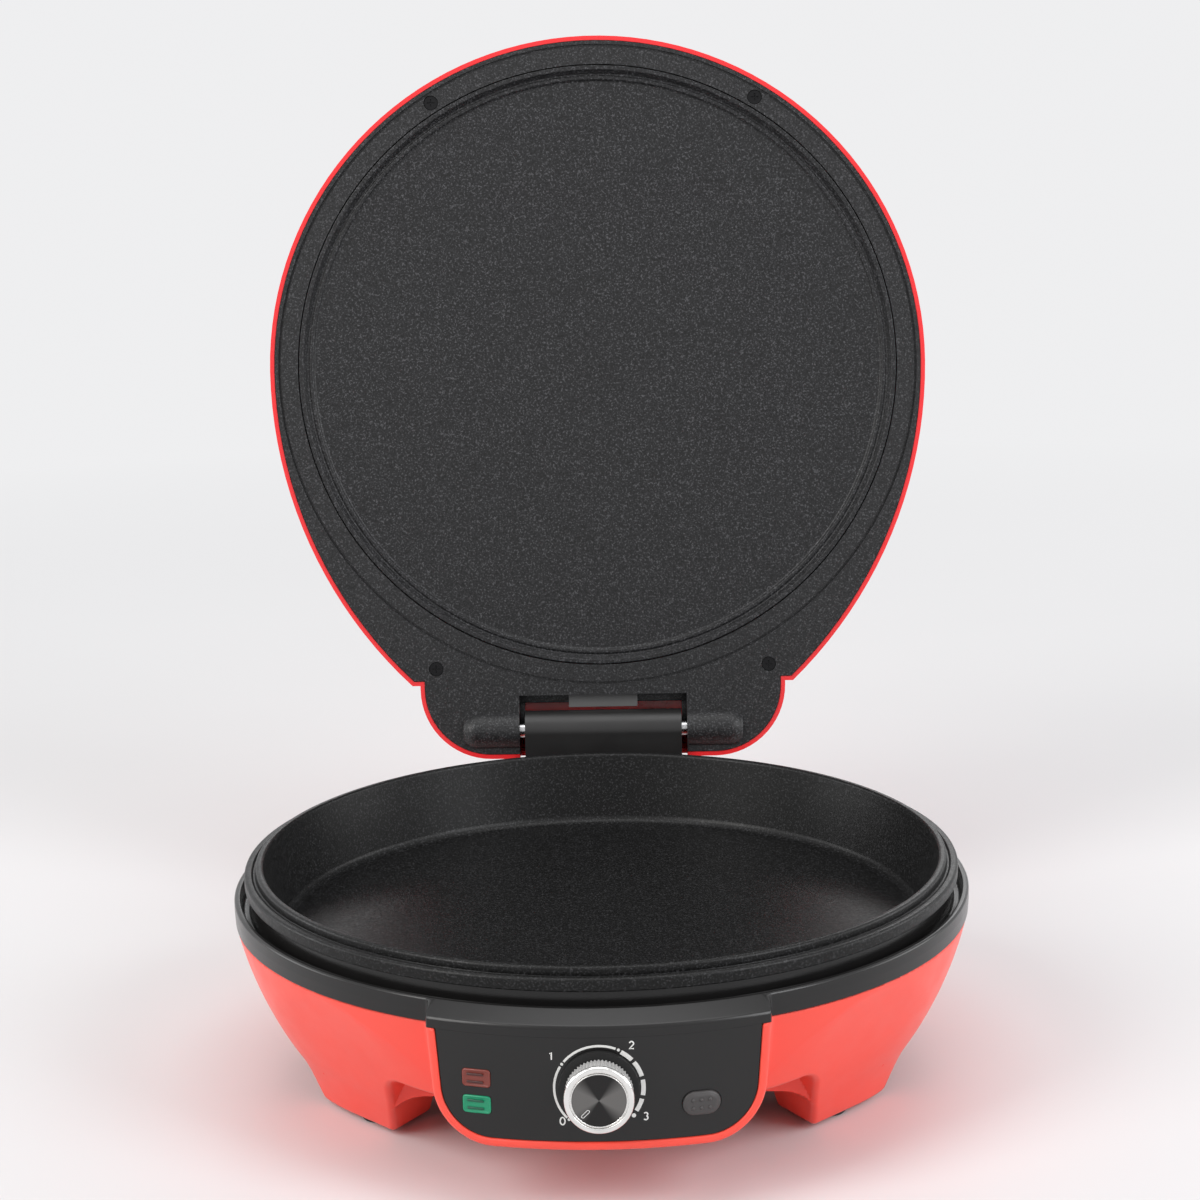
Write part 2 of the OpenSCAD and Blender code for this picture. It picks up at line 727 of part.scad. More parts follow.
// The disc's slot points at the dial's zero, down and to the left
slot_a = 225;
module knob_cap() {
  color([0.16, 0.16, 0.17]) difference() {
    forward(0, knob_z, knob_front - 1, knob_front - 0.4) circle(r = knob_disc_r);
    translate([0, -knob_front + 0.6, knob_z]) rotate([90, 0, 0]) linear_extrude(2)
      rotate([0, 0, slot_a]) hull() {
        translate([knob_disc_r * 0.55, 0]) circle(r = 0.55, $fn = 24);
        translate([knob_disc_r * 0.88, 0]) circle(r = 0.55, $fn = 24);
      }
  }
}

// ---- Lamps ----

function panel_y(x) = sqrt(panel_r * panel_r - x * x);

// What stands no further out than radius r from the pan's axis
module within(r) {
  intersection() {
    children();
    cylinder(r = r, h = big, $fn = 180);
  }
}

lens_back_y = panel_y(lamp_x + lens_w / 2) - panel_t - 3;
module lens(z) {
  within(panel_r + 0.8) forward(-lamp_x, z, lens_back_y, panel_r) lens_2d(0);
  within(panel_r - panel_t - gap) forward(-lamp_x, z, lens_back_y, panel_r) lens_2d(0.9);
}

module power_lens() {
  color([0.6, 0.16, 0.12, 0.9]) lens(lamp_hi_z);
}

module ready_lens() {
  color([0, 0.6, 0.4, 0.9]) lens(lamp_lo_z);
}

board_y = lens_back_y - 9;
module lamp(z) {
  forward(-lamp_x, z, board_y, lens_back_y - gap) circle(r = 2.5, $fn = 32);
}

module power_lamp() {
  color([0.9, 0.4, 0.3]) lamp(lamp_hi_z);
}

module ready_lamp() {
  color([0.5, 0.9, 0.6]) lamp(lamp_lo_z);
}

// Height of the board's feet above and below its middle
board_foot_z = (lamp_hi_z - lamp_lo_z + lens_h) / 2 + 2.3;
module lamp_board() {
  mid_z = (lamp_hi_z + lamp_lo_z) / 2;
  color([0.1, 0.4, 0.2]) {
    forward(-lamp_x, mid_z, board_y - 1.6, board_y)
      square([lens_w + 3, 2 * board_foot_z + 2], center = true);
    // feet that stand on the back of the panel beside the lenses
    within(panel_r - panel_t - gap)
      for (s = [-1, 1])
        forward(-lamp_x, mid_z + s * board_foot_z, board_y, panel_r) square([4, 2], center = true);
  }
}

// ---- Release button and latch ----

// Distance of the back of the button's flange in front of the pan's axis
button_y = panel_y(button_x + button_w / 2) - panel_t - 3.2;
bump_pitch = 3.6;
module release_button() {
  color([0.3, 0.28, 0.28]) {
    within(panel_r + 1.4) forward(button_x, button_z, button_y, panel_r + 2) button_2d(0);
    within(panel_r + 1.9) forward(button_x, button_z, button_y, panel_r + 2) button_2d(-0.7);
    within(panel_r + 2.5)
      for (i = [-1:1], s = [-1, 1])
        forward(button_x + i * bump_pitch, button_z + s * bump_pitch / 2, button_y + 1, panel_r + 3)
          circle(r = 0.9, $fn = 24);
    // flange behind the panel that stops the button from coming out
    within(panel_r - panel_t - gap) forward(button_x, button_z, button_y, panel_r) button_2d(1.2);
    forward(button_x, button_z, button_y - 2, button_y) circle(r = spring_r - wire_r - 0.5, $fn = 32);
  }
}

// The latch's nose reaches over the hook by a little less than the button's travel
latch_nose = 4.7;
latch_y1 = -(lug_y + hook_len) + button_travel - 0.6 - latch_nose;
latch_rod_r = 2;
module pan_latch() {
  color([0.75, 0.75, 0.77]) {
    forward(button_x, button_z, latch_y1, button_y - 2) circle(r = latch_rod_r, $fn = 32);
    translate([button_x - 4, -latch_y1, button_z - 3]) cube([8, 2, lug_foot_z - button_z + 8]);
    // nose over the hook's foot
    translate([button_x - 4, -latch_y1 - latch_nose, lug_foot_z + 2]) cube([8, latch_nose + 0.1, 1.6]);
  }
}

// Seat that guides the rod and backs the spring
spring_r = 3.3;
wire_r = 0.4;
seat_y = button_y - 15;
seat_t = 2.5;
module spring_seat() {
  z0 = surround_floor_z + 2 * gap;
  color([0.15, 0.15, 0.15]) difference() {
    union() {
      translate([button_x - 6, -seat_y, z0]) cube([12, seat_t, button_z + 6 - z0]);
      translate([button_x - 6, -seat_y, z0]) cube([12, 8, 2]);
    }
    forward(button_x, button_z, seat_y - 10, seat_y + 1) circle(r = latch_rod_r + run_clear, $fn = 32);
  }
}

module button_spring() {
  turns = 5;
  y0 = seat_y + wire_r + 0.05;
  y1 = button_y - wire_r - 0.05;
  steps = 16;
  n = turns * steps;
  sides = 6;
  pts = [for (i = [0:n], j = [0:sides - 1])
    let (a = 360 * i / steps, r = spring_r + wire_r * cos(360 * j / sides))
    [r * cos(a), -(y0 + (y1 - y0) * i / n + wire_r * sin(360 * j / sides)), r * sin(a)]];
  faces = concat(
    [[for (j = [0:sides - 1]) j]],
    [[for (j = [0:sides - 1]) (n + 1) * sides - 1 - j]],
    [for (i = [0:n - 1], j = [0:sides - 1])
      let (k = (j + 1) % sides) [i * sides + j, (i + 1) * sides + j, (i + 1) * sides + k]],
    [for (i = [0:n - 1], j = [0:sides - 1])
      let (k = (j + 1) % sides) [i * sides + j, (i + 1) * sides + k, i * sides + k]]
  );
  color("silver") translate([button_x, 0, button_z]) polyhedron(points = pts, faces = faces);
}

// ---- Electrical pieces in the base ----

module terminal_block() {
  color([0.9, 0.88, 0.8]) translate([gland_x - 4, ring_r - 67, underside_z + housing_wall]) difference() {
    cube([40, 16, 14]);
    for (i = [0:2])
      translate([8 + i * 12, 8, 6]) cylinder(r = 2.5, h = 20, $fn = 32);
  }
}

module thermal_fuse() {
  color([0.8, 0.8, 0.82]) translate([-14, 40, reflector_z - 5]) {
    rotate([0, 90, 0]) cylinder(r = 4.7, h = 28, $fn = 32);
    translate([4, -6, 3]) cube([20, 12, 2 - gap]);
  }
}

// ---- Underside ----

vent_half = 35;
module bottom_cover() {
  color([0.12, 0.12, 0.12]) difference() {
    union() {
      translate([0, 0, underside_z - cover_t]) cylinder(r = cover_r, h = cover_t);
      translate([0, 0, underside_z - 0.5]) cylinder(r = cover_hole_r - gap, h = 2.5);
      // posts that carry the reflector
      for (a = post_angles)
        rotate([0, 0, a]) translate([post_r, 0, underside_z]) cylinder(r = 5, h = post_top - underside_z);
    }
    for (a = post_angles)
      rotate([0, 0, a]) translate([post_r, 0, underside_z + 8]) cylinder(r = screw_r, h = big);
    for (a = cover_angles)
      rotate([0, 0, a]) translate([cover_screw_r, 0, 0]) cylinder(r = screw_r + 0.2, h = big);
    // vent slots
    for (k = [-3:3])
      translate([-vent_half, k * 9 - 1.5, 0]) cube([2 * vent_half, 3, big]);
  }
}

module cover_screws() {
  color([0.25, 0.25, 0.25])
    for (a = cover_angles)
      rotate([0, 0, a]) translate([cover_screw_r, 0, underside_z - cover_t - 2]) difference() {
        union() {
          cylinder(r = head_r - 0.2, h = 2);
          translate([0, 0, 1]) cylinder(r = screw_r - 0.1, h = cover_t + housing_wall + 3);
        }
        for (q = [0, 90])
          rotate([0, 0, q]) translate([-2.2, -0.4, -1]) cube([4.4, 0.8, 2]);
      }
}

module rubber_feet() {
  color([0.05, 0.05, 0.05])
    for (p = foot_places)
      translate(p) rotate_extrude() polygon([
        [0, 0], [foot_pad_r - 0.8, 0], [foot_pad_r, 0.8], [foot_pad_r, foot_pad_h], [0, foot_pad_h]
      ]);
}

module cord_gland() {
  color([0.08, 0.08, 0.08]) difference() {
    translate([gland_x, pad_y, gland_z]) rotate([-90, 0, 0]) {
      cylinder(r = gland_r + 2, h = 3);
      translate([0, 0, 3]) cylinder(r1 = gland_r + 1, r2 = gland_r - 1.4, h = 10);
      translate([0, 0, -9]) cylinder(r = gland_r, h = 9.5);
    }
    translate([gland_x, 0, gland_z]) rotate([-90, 0, 0]) cylinder(r = 3.6, h = big);
  }
}

// ---- Hinge ----

arm_back = hinge_y + 8;
arm_front = pad_y + gap;
// Hollows that keep the walls of the hinge block's moulding even
block_hollow_x = 14;
block_hollow_w = 18;
block_hollow_h = 40;
module hinge_block() {
  color([0.1, 0.1, 0.1]) difference() {
    union() {
      translate([-barrel_half, hinge_y, hinge_z]) rotate([0, 90, 0])
        cylinder(r = barrel_r, h = 2 * barrel_half);
      translate([-barrel_half, arm_front, block_z0])
        cube([2 * barrel_half, arm_back - arm_front, hinge_z - block_z0]);
      // the front face steps forward under the barrel
      translate([-barrel_half, hinge_y - barrel_r, hinge_z - 12.5])
        cube([2 * barrel_half, barrel_r, 12.5]);
    }
    translate([-big, hinge_y, hinge_z]) rotate([0, 90, 0]) cylinder(r = pin_r + 0.02, h = 2 * big);
    for (x = [-hinge_screw_x, hinge_screw_x], z = hinge_screw_z)
      translate([x, 100, z]) rotate([-90, 0, 0]) cylinder(r = screw_r, h = arm_back - 103);
    for (s = [-1, 1])
      translate([s * block_hollow_x - block_hollow_w / 2, arm_front + 5, block_z0 - 2])
        cube([block_hollow_w, 8, block_hollow_h + 2]);
  }
}

pin_half = barrel_half + 3 + capsule_len - 6;
module hinge_pin() {
  color("silver") translate([-pin_half, hinge_y, hinge_z]) rotate([0, 90, 0])
    cylinder(r = pin_r, h = 2 * pin_half);
}

module hinge_screws() {
  color([0.6, 0.6, 0.62])
    for (x = [-hinge_screw_x, hinge_screw_x], z = hinge_screw_z)
      translate([x, pad_y - housing_wall, z]) rotate([-90, 0, 0]) {
        translate([0, 0, -2]) cylinder(r = head_r, h = 2);
        cylinder(r = screw_r - 0.1, h = housing_wall + gap + 11);
      }
}

notch_half = barrel_half + 3;
bush_r = pin_r + 1.6;
module hinge_bushes() {
  color([0.75, 0.62, 0.3])
    for (s = [-1, 1])
      translate([s > 0 ? notch_half + 0.5 : -notch_half - capsule_len + 6.5, hinge_y, hinge_z])
        rotate([0, 90, 0]) difference() {
          cylinder(r = bush_r, h = capsule_len - 7);
          translate([0, 0, -1]) cylinder(r = pin_r + run_clear, h = capsule_len);
        }
}

// ---- Lid ----

// Half section of the dome, t inside its outer face; c moves it out from the turning axis
module dome_section(t, c, z0) {
  e = dome_edge_r - t;
  rc = ring_r - dome_edge_r;
  zs = dome_h - crown_r;
  ze = zs + sqrt(pow(crown_r - dome_edge_r, 2) - rc * rc);
  a_top = atan2(ze - zs, rc);
  polygon(concat(
    [[0, z0], [ring_r - t + c, z0]],
    [for (p = arc(rc, ze, e, 0, a_top, 6)) [p[0] + c, p[1]]],
    [for (i = [1:8]) let (a = a_top + (90 - a_top) * i / 8)
      [(crown_r - t) * cos(a) + c, zs + (crown_r - t) * sin(a)]],
    c > 0 ? [[0, dome_h - t]] : []
  ));
}

// The end of the lid beside the hinge, t inside its outer face
neck_top = 28;
neck_edge_r = 11;
module neck_solid(t, z0) {
  r = neck_corner_r;
  e = neck_edge_r;
  cx = neck_half - r;
  cy = neck_end_y - r;
  front_y = shoulder_y - 30;
  function edge(w) = concat([[w - t, z0]], arc(w - e, neck_top - e, e - t, 0, 90, 5));
  for (s = [-1, 1])
    translate([s * cx, cy, 0]) rotate_extrude() polygon(concat([[0, z0]], edge(r), [[0, neck_top - t]]));
  translate([-cx, cy, 0]) rotate([90, 0, 90]) linear_extrude(2 * cx)
    polygon(concat([[0, z0]], edge(r), [[0, neck_top - t]]));
  translate([0, cy, 0]) rotate([90, 0, 0]) linear_extrude(cy - front_y)
    polygon(concat(edge(neck_half), mirrored(edge(neck_half))));
}

// The whole lid as one solid, t inside its outer face, from height z0 up
module lid_solid(t, z0) {
  c = flare;
  rotate_extrude(angle = 180, start = 180, $fn = 180) dome_section(t, 0, z0);
  intersection() {
    union() {
      intersection() {
        translate([-c, 0, 0]) rotate_extrude(angle = 90, start = 0, $fn = 180) dome_section(t, c, z0);
        translate([0, -1, -50]) cube([big, big, 150]);
      }
      intersection() {
        translate([c, 0, 0]) rotate_extrude(angle = 90, start = 90, $fn = 180) dome_section(t, c, z0);
        translate([-big, -1, -50]) cube([big, big, 150]);
      }
    }
    translate([-big, -1, -50]) cube([2 * big, shoulder_y - t + 1, 150]);
  }
  neck_solid(t, z0);
}

// Places of the four screws that join the frame and the shell
lid_screw_front_r = ring_r - 9.8;
lid_screw_front_a = 31.4;
lid_screw_rear = [neck_half - 8.7, shoulder_y - 9];
lid_screw_places = [for (s = [-1, 1])
  each [[s * lid_screw_front_r * sin(lid_screw_front_a), -lid_screw_front_r * cos(lid_screw_front_a)],
        [s * lid_screw_rear[0], lid_screw_rear[1]]]];
notch_y = shoulder_y + 6;
// The shell's end rests on the back of the hinge block when the lid is open
stop_z = hinge_above_face
  + (arm_back + gap - hinge_y - (neck_end_y - hinge_y) * cos(lid_open)) / sin(lid_open);
boss_top = 12;

module at_face() {
  translate([0, 0, lid_face_z]) children();
}

module lid_shell() {
  color([0.85, 0.1, 0.08]) at_face() difference() {
    union() {
      difference() {
        lid_solid(0, 0.6);
        lid_solid(lid_wall, -1);
      }
      // posts for the frame's screws
      intersection() {
        for (p = lid_screw_places)
          translate([p[0], p[1], frame_t + gap + 1]) cylinder(r = 4, h = 40, $fn = 32);
        lid_solid(lid_wall / 2, 0);
      }
    }
    for (p = lid_screw_places)
      translate([p[0], p[1], -1]) cylinder(r = screw_r, h = boss_top);
    translate([-notch_half, neck_end_y - 10, -1]) cube([2 * notch_half, 20, stop_z + 1]);
    // holes for the grip's screws
    for (s = [-1, 1])
      translate([s * grip_half, -grip_y, 0]) cylinder(r = screw_r + 0.2, h = 90);
  }
}

// Flat outline of the lid, t inside its outer edge
module lid_2d(t) {
  c = flare;
  r = neck_corner_r;
  intersection() {
    circle(r = ring_r - t, $fn = 180);
    translate([-big, -big]) square([2 * big, big]);
  }
  intersection() {
    translate([-c, 0]) circle(r = ring_r + c - t, $fn = 180);
    translate([c, 0]) circle(r = ring_r + c - t, $fn = 180);
    translate([-big, -1]) square([2 * big, shoulder_y - t + 1]);
  }
  for (s = [-1, 1])
    translate([s * (neck_half - r), neck_end_y - r]) circle(r = r - t);
  translate([-neck_half + r, 0]) square([2 * (neck_half - r), neck_end_y - t]);
  translate([-neck_half + t, 0]) square([2 * (neck_half - t), neck_end_y - r]);
}

module lid_frame() {
  inset = lid_wall + gap;
  color([0.16, 0.16, 0.17]) at_face() difference() {
    union() {
      linear_extrude(frame_t) lid_2d(inset);
      // capsules that hold the ends of the hinge pin
      for (s = [-1, 1])
        translate([s * notch_half, hinge_y, hinge_above_face]) rotate([0, s * 90, 0]) {
          cylinder(r = capsule_r, h = capsule_len - capsule_r * 0.7);
          translate([0, 0, capsule_len - capsule_r * 0.7]) intersection() {
            sphere(r = capsule_r);
            translate([-capsule_r, -capsule_r, 0]) cube([2 * capsule_r, 2 * capsule_r, capsule_r * 0.7]);
          }
        }
      // wall round the hinge's cut-out
      translate([-notch_half - 2, notch_y - 2, 0]) cube([2 * notch_half + 4, 2, 14]);
      for (s = [-1, 1])
        translate([s * (notch_half + 1) - 1, notch_y - 2, 0]) cube([2, neck_end_y - inset - notch_y - 4, 12]);
      // bosses behind the four screws and under the plate's clips
      for (p = lid_screw_places)
        translate([p[0], p[1], 0]) cylinder(r = 5, h = frame_t + 1);
      for (a = plate_clip_angles)
        rotate([0, 0, a]) translate([clip_boss_r, 0, frame_t - 0.5])
          cylinder(r = 3.5, h = clip_z - frame_t + 0.5, $fn = 32);
    }
    translate([0, 0, -20]) cylinder(r = plate_r + gap, h = 60, $fn = 180);
    translate([-notch_half, notch_y, -20]) cube([2 * notch_half, 60, 60]);
    // groove and the screws' recesses
    rotate_extrude($fn = 180) translate([groove_r - groove_w / 2, -1]) square([groove_w, 2.2]);
    for (p = lid_screw_places)
      translate([p[0], p[1], -1]) {
        cylinder(r = head_r + 0.3, h = 2.8);
        cylinder(r = screw_r + 0.2, h = 20);
      }
    for (a = plate_clip_angles)
      rotate([0, 0, a]) translate([clip_boss_r, 0, 1.5]) cylinder(r = 1.2, h = 20, $fn = 24);
    for (s = [-1, 1])
      translate([0, hinge_y, hinge_above_face]) rotate([0, s * 90, 0])
        cylinder(r = bush_r + 0.02, h = notch_half + capsule_len - 6);
  }
}

module lid_screws() {
  color([0.1, 0.1, 0.1]) at_face()
    for (p = lid_screw_places)
      translate([p[0], p[1], 0.6]) difference() {
        union() {
          cylinder(r = head_r, h = 1.2);
          cylinder(r = screw_r - 0.1, h = boss_top - 2.5);
        }
        for (q = [0, 90])
          rotate([0, 0, q]) translate([-2, -0.35, -1]) cube([4, 0.7, 1.8]);
      }
}

// A grey lug at the middle of the hinge's cut-out
module hinge_tab() {
  color([0.4, 0.4, 0.4]) at_face()
    translate([-18.5, notch_y, 5]) cube([37, 7, 4]);
}

module upper_plate() {
  fz = plate_recess;
  color([0.15, 0.15, 0.16]) at_face() rotate_extrude($fn = 180) polygon([
    [0, fz], [plate_flat_r, fz], [plate_flat_r + 1.2, fz - 0.5], [plate_flat_r + 2.6, 1.6],
    [plate_flat_r + 4, 1.2], [plate_r - 2.6, 0.9], [plate_r - 2.2, 0.2], [plate_r - 0.6, 0.2],
    [plate_r, 0.8], [plate_r, plate_t + 0.7], [plate_flat_r + 4.6, plate_t + 0.7],
    [plate_flat_r + 2, fz + plate_t], [0, fz + plate_t]
  ]);
}

plate_back = plate_recess + plate_t;
plate_clip_angles = [30, 90, 150, 210, 270, 330];
clip_boss_r = plate_r + 5;
clip_z = plate_back + gap;
module plate_clips() {
  color([0.7, 0.7, 0.72]) at_face()
    for (a = plate_clip_angles)
      rotate([0, 0, a]) difference() {
        translate([plate_flat_r - 8, -5, clip_z]) cube([clip_boss_r - plate_flat_r + 12, 10, 1.2]);
        translate([clip_boss_r, 0, 0]) cylinder(r = 1.4, h = 50, $fn = 24);
      }
}

module clip_screws() {
  color([0.6, 0.6, 0.62]) at_face()
    for (a = plate_clip_angles)
      rotate([0, 0, a]) translate([clip_boss_r, 0, clip_z + 1.2]) {
        cylinder(r = 2.6, h = 1.6, $fn = 32);
        translate([0, 0, -5]) cylinder(r = 1.1, h = 5.1, $fn = 24);
      }
}

upper_tube_z = plate_back + gap + tube_r;
module upper_heater() {
  color([0.35, 0.34, 0.33]) at_face() translate([0, 0, upper_tube_z]) rotate([180, 0, 0])
    heater_loop(8);
}

module upper_heater_clips() {
  color([0.7, 0.7, 0.72]) at_face()
    for (a = [0, 72, 144, 216, 288])
      rotate([0, 0, a + 18]) difference() {
        translate([loop_r - clip_len / 2, -clip_w / 2, plate_back])
          cube([clip_len, clip_w, 2 * tube_r + gap + 2]);
        translate([loop_r, -clip_w, upper_tube_z]) rotate([-90, 0, 0])
          cylinder(r = tube_r + gap, h = 2 * clip_w, $fn = 48);
        translate([loop_r - tube_r - gap, -clip_w, plate_back - 1])
          cube([2 * (tube_r + gap), 2 * clip_w, tube_r + gap + 1]);
      }
}

upper_reflector_r = plate_flat_r - 14.5;
upper_reflector_h = 13;
module upper_reflector() {
  t = reflector_t;
  z = plate_back + gap;
  color([0.75, 0.75, 0.77]) at_face() difference() {
    rotate_extrude() polygon([
      [0, z + upper_reflector_h - t], [upper_reflector_r - 4, z + upper_reflector_h - t],
      [upper_reflector_r - t, z], [upper_reflector_r + 3, z], [upper_reflector_r + 3, z + t],
      [upper_reflector_r, z + t], [upper_reflector_r - 3.5, z + upper_reflector_h],
      [0, z + upper_reflector_h]
    ]);
    for (a = [stem_a, 180 - stem_a])
      rotate([0, 0, -a]) translate([loop_r, 0, 0]) cylinder(r = tube_r + 1, h = 60);
  }
}

module upper_fuse() {
  color([0.8, 0.8, 0.82]) at_face()
    translate([-14, 30, plate_back + gap + upper_reflector_h]) {
      translate([0, 0, 5]) rotate([0, 90, 0]) cylinder(r = 4.7, h = 28, $fn = 32);
      translate([4, -6, 0]) cube([20, 12, 2]);
    }
}

// ---- Grip on the dome ----

// Height of the dome's outer face at distance r from its centre
function dome_z(r) = dome_h - crown_r + sqrt(crown_r * crown_r - r * r);

module lid_grip() {
  z_foot = dome_z(grip_y + grip_r);
  z_bar = dome_z(grip_y) + grip_clear + grip_r;
  bar_half = grip_half + 9;
  color([0.08, 0.08, 0.08]) at_face() difference() {
    union() {
      translate([0, -grip_y, z_bar]) rotate([0, 90, 0]) rotate_extrude() polygon(concat(
        [[0, -bar_half]],
        arc(grip_r - 3, -bar_half + 3, 3, 270, 360, 4),
        arc(grip_r - 3, bar_half - 3, 3, 0, 90, 4),
        [[0, bar_half]]
      ));
      for (s = [-1, 1])
        translate([s * grip_half, -grip_y, z_foot - 8]) cylinder(r1 = 11, r2 = 8, h = z_bar - z_foot + 8);
    }
    // the posts' feet follow the dome
    rotate_extrude($fn = 180) dome_section(-gap / 2, 0, -5);
    for (s = [-1, 1])
      translate([s * grip_half, -grip_y, 0]) cylinder(r = screw_r, h = z_bar);
  }
}

grip_screw_len = 20;
module grip_screws() {
  color([0.6, 0.6, 0.62]) at_face()
    for (s = [-1, 1])
      translate([s * grip_half, -grip_y, 0]) {
        translate([0, 0, dome_z(norm([grip_half, grip_y]) + head_r) - lid_wall - 2.4]) {
          cylinder(r = head_r, h = 2);
          cylinder(r = screw_r - 0.1, h = grip_screw_len);
        }
      }
}

at_origin() base_housing();
at_origin() base_ring();
at_origin() control_panel();
at_origin() pan();
at_origin() pan_lug();
at_origin() lower_heater();
at_origin() heater_clips();
at_origin() lower_reflector();
at_origin() reflector_screws();
at_origin() thermostat_body();
at_origin() thermostat_shaft();
at_origin() knob();
at_origin() knob_ring();
at_origin() knob_cap();
at_origin() knob_collar();
at_origin() power_lens();
at_origin() ready_lens();
at_origin() power_lamp();
at_origin() ready_lamp();
at_origin() lamp_board();
at_origin() release_button();
at_origin() pan_latch();
at_origin() button_spring();
at_origin() spring_seat();
at_origin() terminal_block();
at_origin() thermal_fuse();
at_origin() bottom_cover();
at_origin() cover_screws();
at_origin() rubber_feet();
at_origin() cord_gland();
at_origin() hinge_block();
at_origin() hinge_pin();
at_origin() hinge_screws();
in_lid() hinge_bushes();
in_lid() lid_shell();
in_lid() lid_frame();
in_lid() lid_screws();
in_lid() hinge_tab();
in_lid() upper_plate();
in_lid() plate_clips();
in_lid() clip_screws();
in_lid() upper_heater();
in_lid() upper_heater_clips();
in_lid() upper_reflector();
in_lid() upper_fuse();
in_lid() lid_grip();
in_lid() grip_screws();
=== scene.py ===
"""Looks of the electric pizza maker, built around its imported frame.

Sizes named in millimetres are the real ones; everything placed in the scene is in metres.
Pieces of the base are drawn about the pan's axis. Pieces of the lid are drawn in the
closed lid's place and swung up to the frame's rest pose.
"""
import json
import math

import bmesh
import bpy
import numpy as np
from mathutils import Matrix, Vector


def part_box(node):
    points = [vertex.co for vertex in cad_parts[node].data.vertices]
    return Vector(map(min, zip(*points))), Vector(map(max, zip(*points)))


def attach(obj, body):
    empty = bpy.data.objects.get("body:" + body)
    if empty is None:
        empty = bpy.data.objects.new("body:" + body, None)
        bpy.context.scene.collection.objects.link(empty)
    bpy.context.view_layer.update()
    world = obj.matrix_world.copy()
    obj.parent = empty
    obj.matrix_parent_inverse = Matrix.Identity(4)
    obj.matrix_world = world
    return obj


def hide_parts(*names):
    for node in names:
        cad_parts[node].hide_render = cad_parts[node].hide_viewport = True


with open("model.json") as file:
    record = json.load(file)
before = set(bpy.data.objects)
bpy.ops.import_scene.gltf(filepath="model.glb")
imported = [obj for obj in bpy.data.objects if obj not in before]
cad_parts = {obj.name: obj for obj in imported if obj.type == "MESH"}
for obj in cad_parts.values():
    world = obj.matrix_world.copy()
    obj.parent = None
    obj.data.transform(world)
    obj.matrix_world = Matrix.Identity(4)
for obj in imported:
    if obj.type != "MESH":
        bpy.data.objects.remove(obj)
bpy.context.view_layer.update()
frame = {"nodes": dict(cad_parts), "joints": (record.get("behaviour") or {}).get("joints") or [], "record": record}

MM = 0.001
NODES = frame["nodes"]
SCENE = bpy.context.scene
SLOTS = {s["node"]: s["material_slot"] for s in frame["record"]["subparts"]}
JOINTS = {j["name"]: j for j in frame["joints"]}

# ---- Places taken from the frame ----

AXIS_Y = (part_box("pan")[0].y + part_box("pan")[1].y) / 2
HINGE = JOINTS["lid_hinge"]
LID_OPEN = HINGE["range_deg"][1]
HINGE_AT = Vector(HINGE["pos_m"])
KNOB_Z = JOINTS["knob_turn"]["pos_m"][2] / MM

# ---- Real sizes, in millimetres ----

RING_R = 175.0
RING_TOP = 92.5
RING_Z0 = 81.5
TROUGH_Z = 85.5
LIP_R = 164.2
LIP_TOP = 101.4
BROW_Z = 87.5
BROW_UNDER = 83.1
PANEL_R = RING_R + 9
PAN_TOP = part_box("pan")[1].z / MM
RIM_R = 160.8
FLANGE_R = 169.8
FLOOR_R = 150.0
PAN_DEPTH = 35.0
PAN_WALL = 2.2
LID_FACE = PAN_TOP + 0.3
HINGE_Y = (HINGE_AT.y - AXIS_Y) / MM
PLATE_R = 159.7
PLATE_FLAT_R = 152.5
KNOB_R = 15.1
DISC_R = 11.5
KNOB_FRONT = PANEL_R + 14
GAP = 0.3


# ---- Mesh helpers ----

# Points closer than this, in metres, are one point
SAME_PLACE = 1e-6


def lid_matrix():
    """Takes a point of the closed lid, in the frame, to its place in the open lid."""
    to_hinge = Matrix.Translation(-HINGE_AT)
    turn = Matrix.Rotation(math.radians(-LID_OPEN), 4, "X")
    return Matrix.Translation(HINGE_AT) @ turn @ to_hinge


LID = lid_matrix()


def from_axis(x, y, z):
    """A point given in millimetres from the pan's axis and the table."""
    return Vector((x * MM, y * MM + AXIS_Y, z * MM))


def rounded(points, steps=5):
    """A closed outline with its corners rounded; each point is (a, b, radius)."""
    out = []
    n = len(points)
    for i, (a, b, r) in enumerate(points):
        here = Vector((a, b))
        if r <= 0:
            out.append((a, b))
            continue
        before = Vector(points[i - 1][:2])
        after = Vector(points[(i + 1) % n][:2])
        u = (before - here).normalized()
        v = (after - here).normalized()
        half = u.angle(v) / 2
        reach = min(r / math.tan(half), 0.48 * (before - here).length, 0.48 * (after - here).length)
        r = reach * math.tan(half)
        centre = here + (u + v).normalized() * (r / math.sin(half))
        start = here + u * reach - centre
        sweep = math.pi - 2 * half
        side = 1 if u.x * v.y - u.y * v.x < 0 else -1
        for k in range(steps + 1):
            t = side * sweep * k / steps
            out.append((
                centre.x + start.x * math.cos(t) - start.y * math.sin(t),
                centre.y + start.x * math.sin(t) + start.y * math.cos(t),
            ))
    return out


def new_object(name, verts, faces):
    """An object in the scene made of points in metres and faces."""
    mesh = bpy.data.meshes.new(name)
    mesh.from_pydata([tuple(v) for v in verts], [], faces)
    mesh.validate()
    obj = bpy.data.objects.new(name, mesh)
    SCENE.collection.objects.link(obj)
    return obj


def tidy_mesh(obj, angle=35.0):
    """Merges doubles, points all faces outwards and shades smooth up to an angle."""
    bm = bmesh.new()
    bm.from_mesh(obj.data)
    bmesh.ops.remove_doubles(bm, verts=bm.verts, dist=SAME_PLACE)
    bmesh.ops.recalc_face_normals(bm, faces=bm.faces)
    bm.to_mesh(obj.data)
    bm.free()
    obj.data.shade_smooth()
    obj.data.set_sharp_from_angle(angle=math.radians(angle))
    return obj


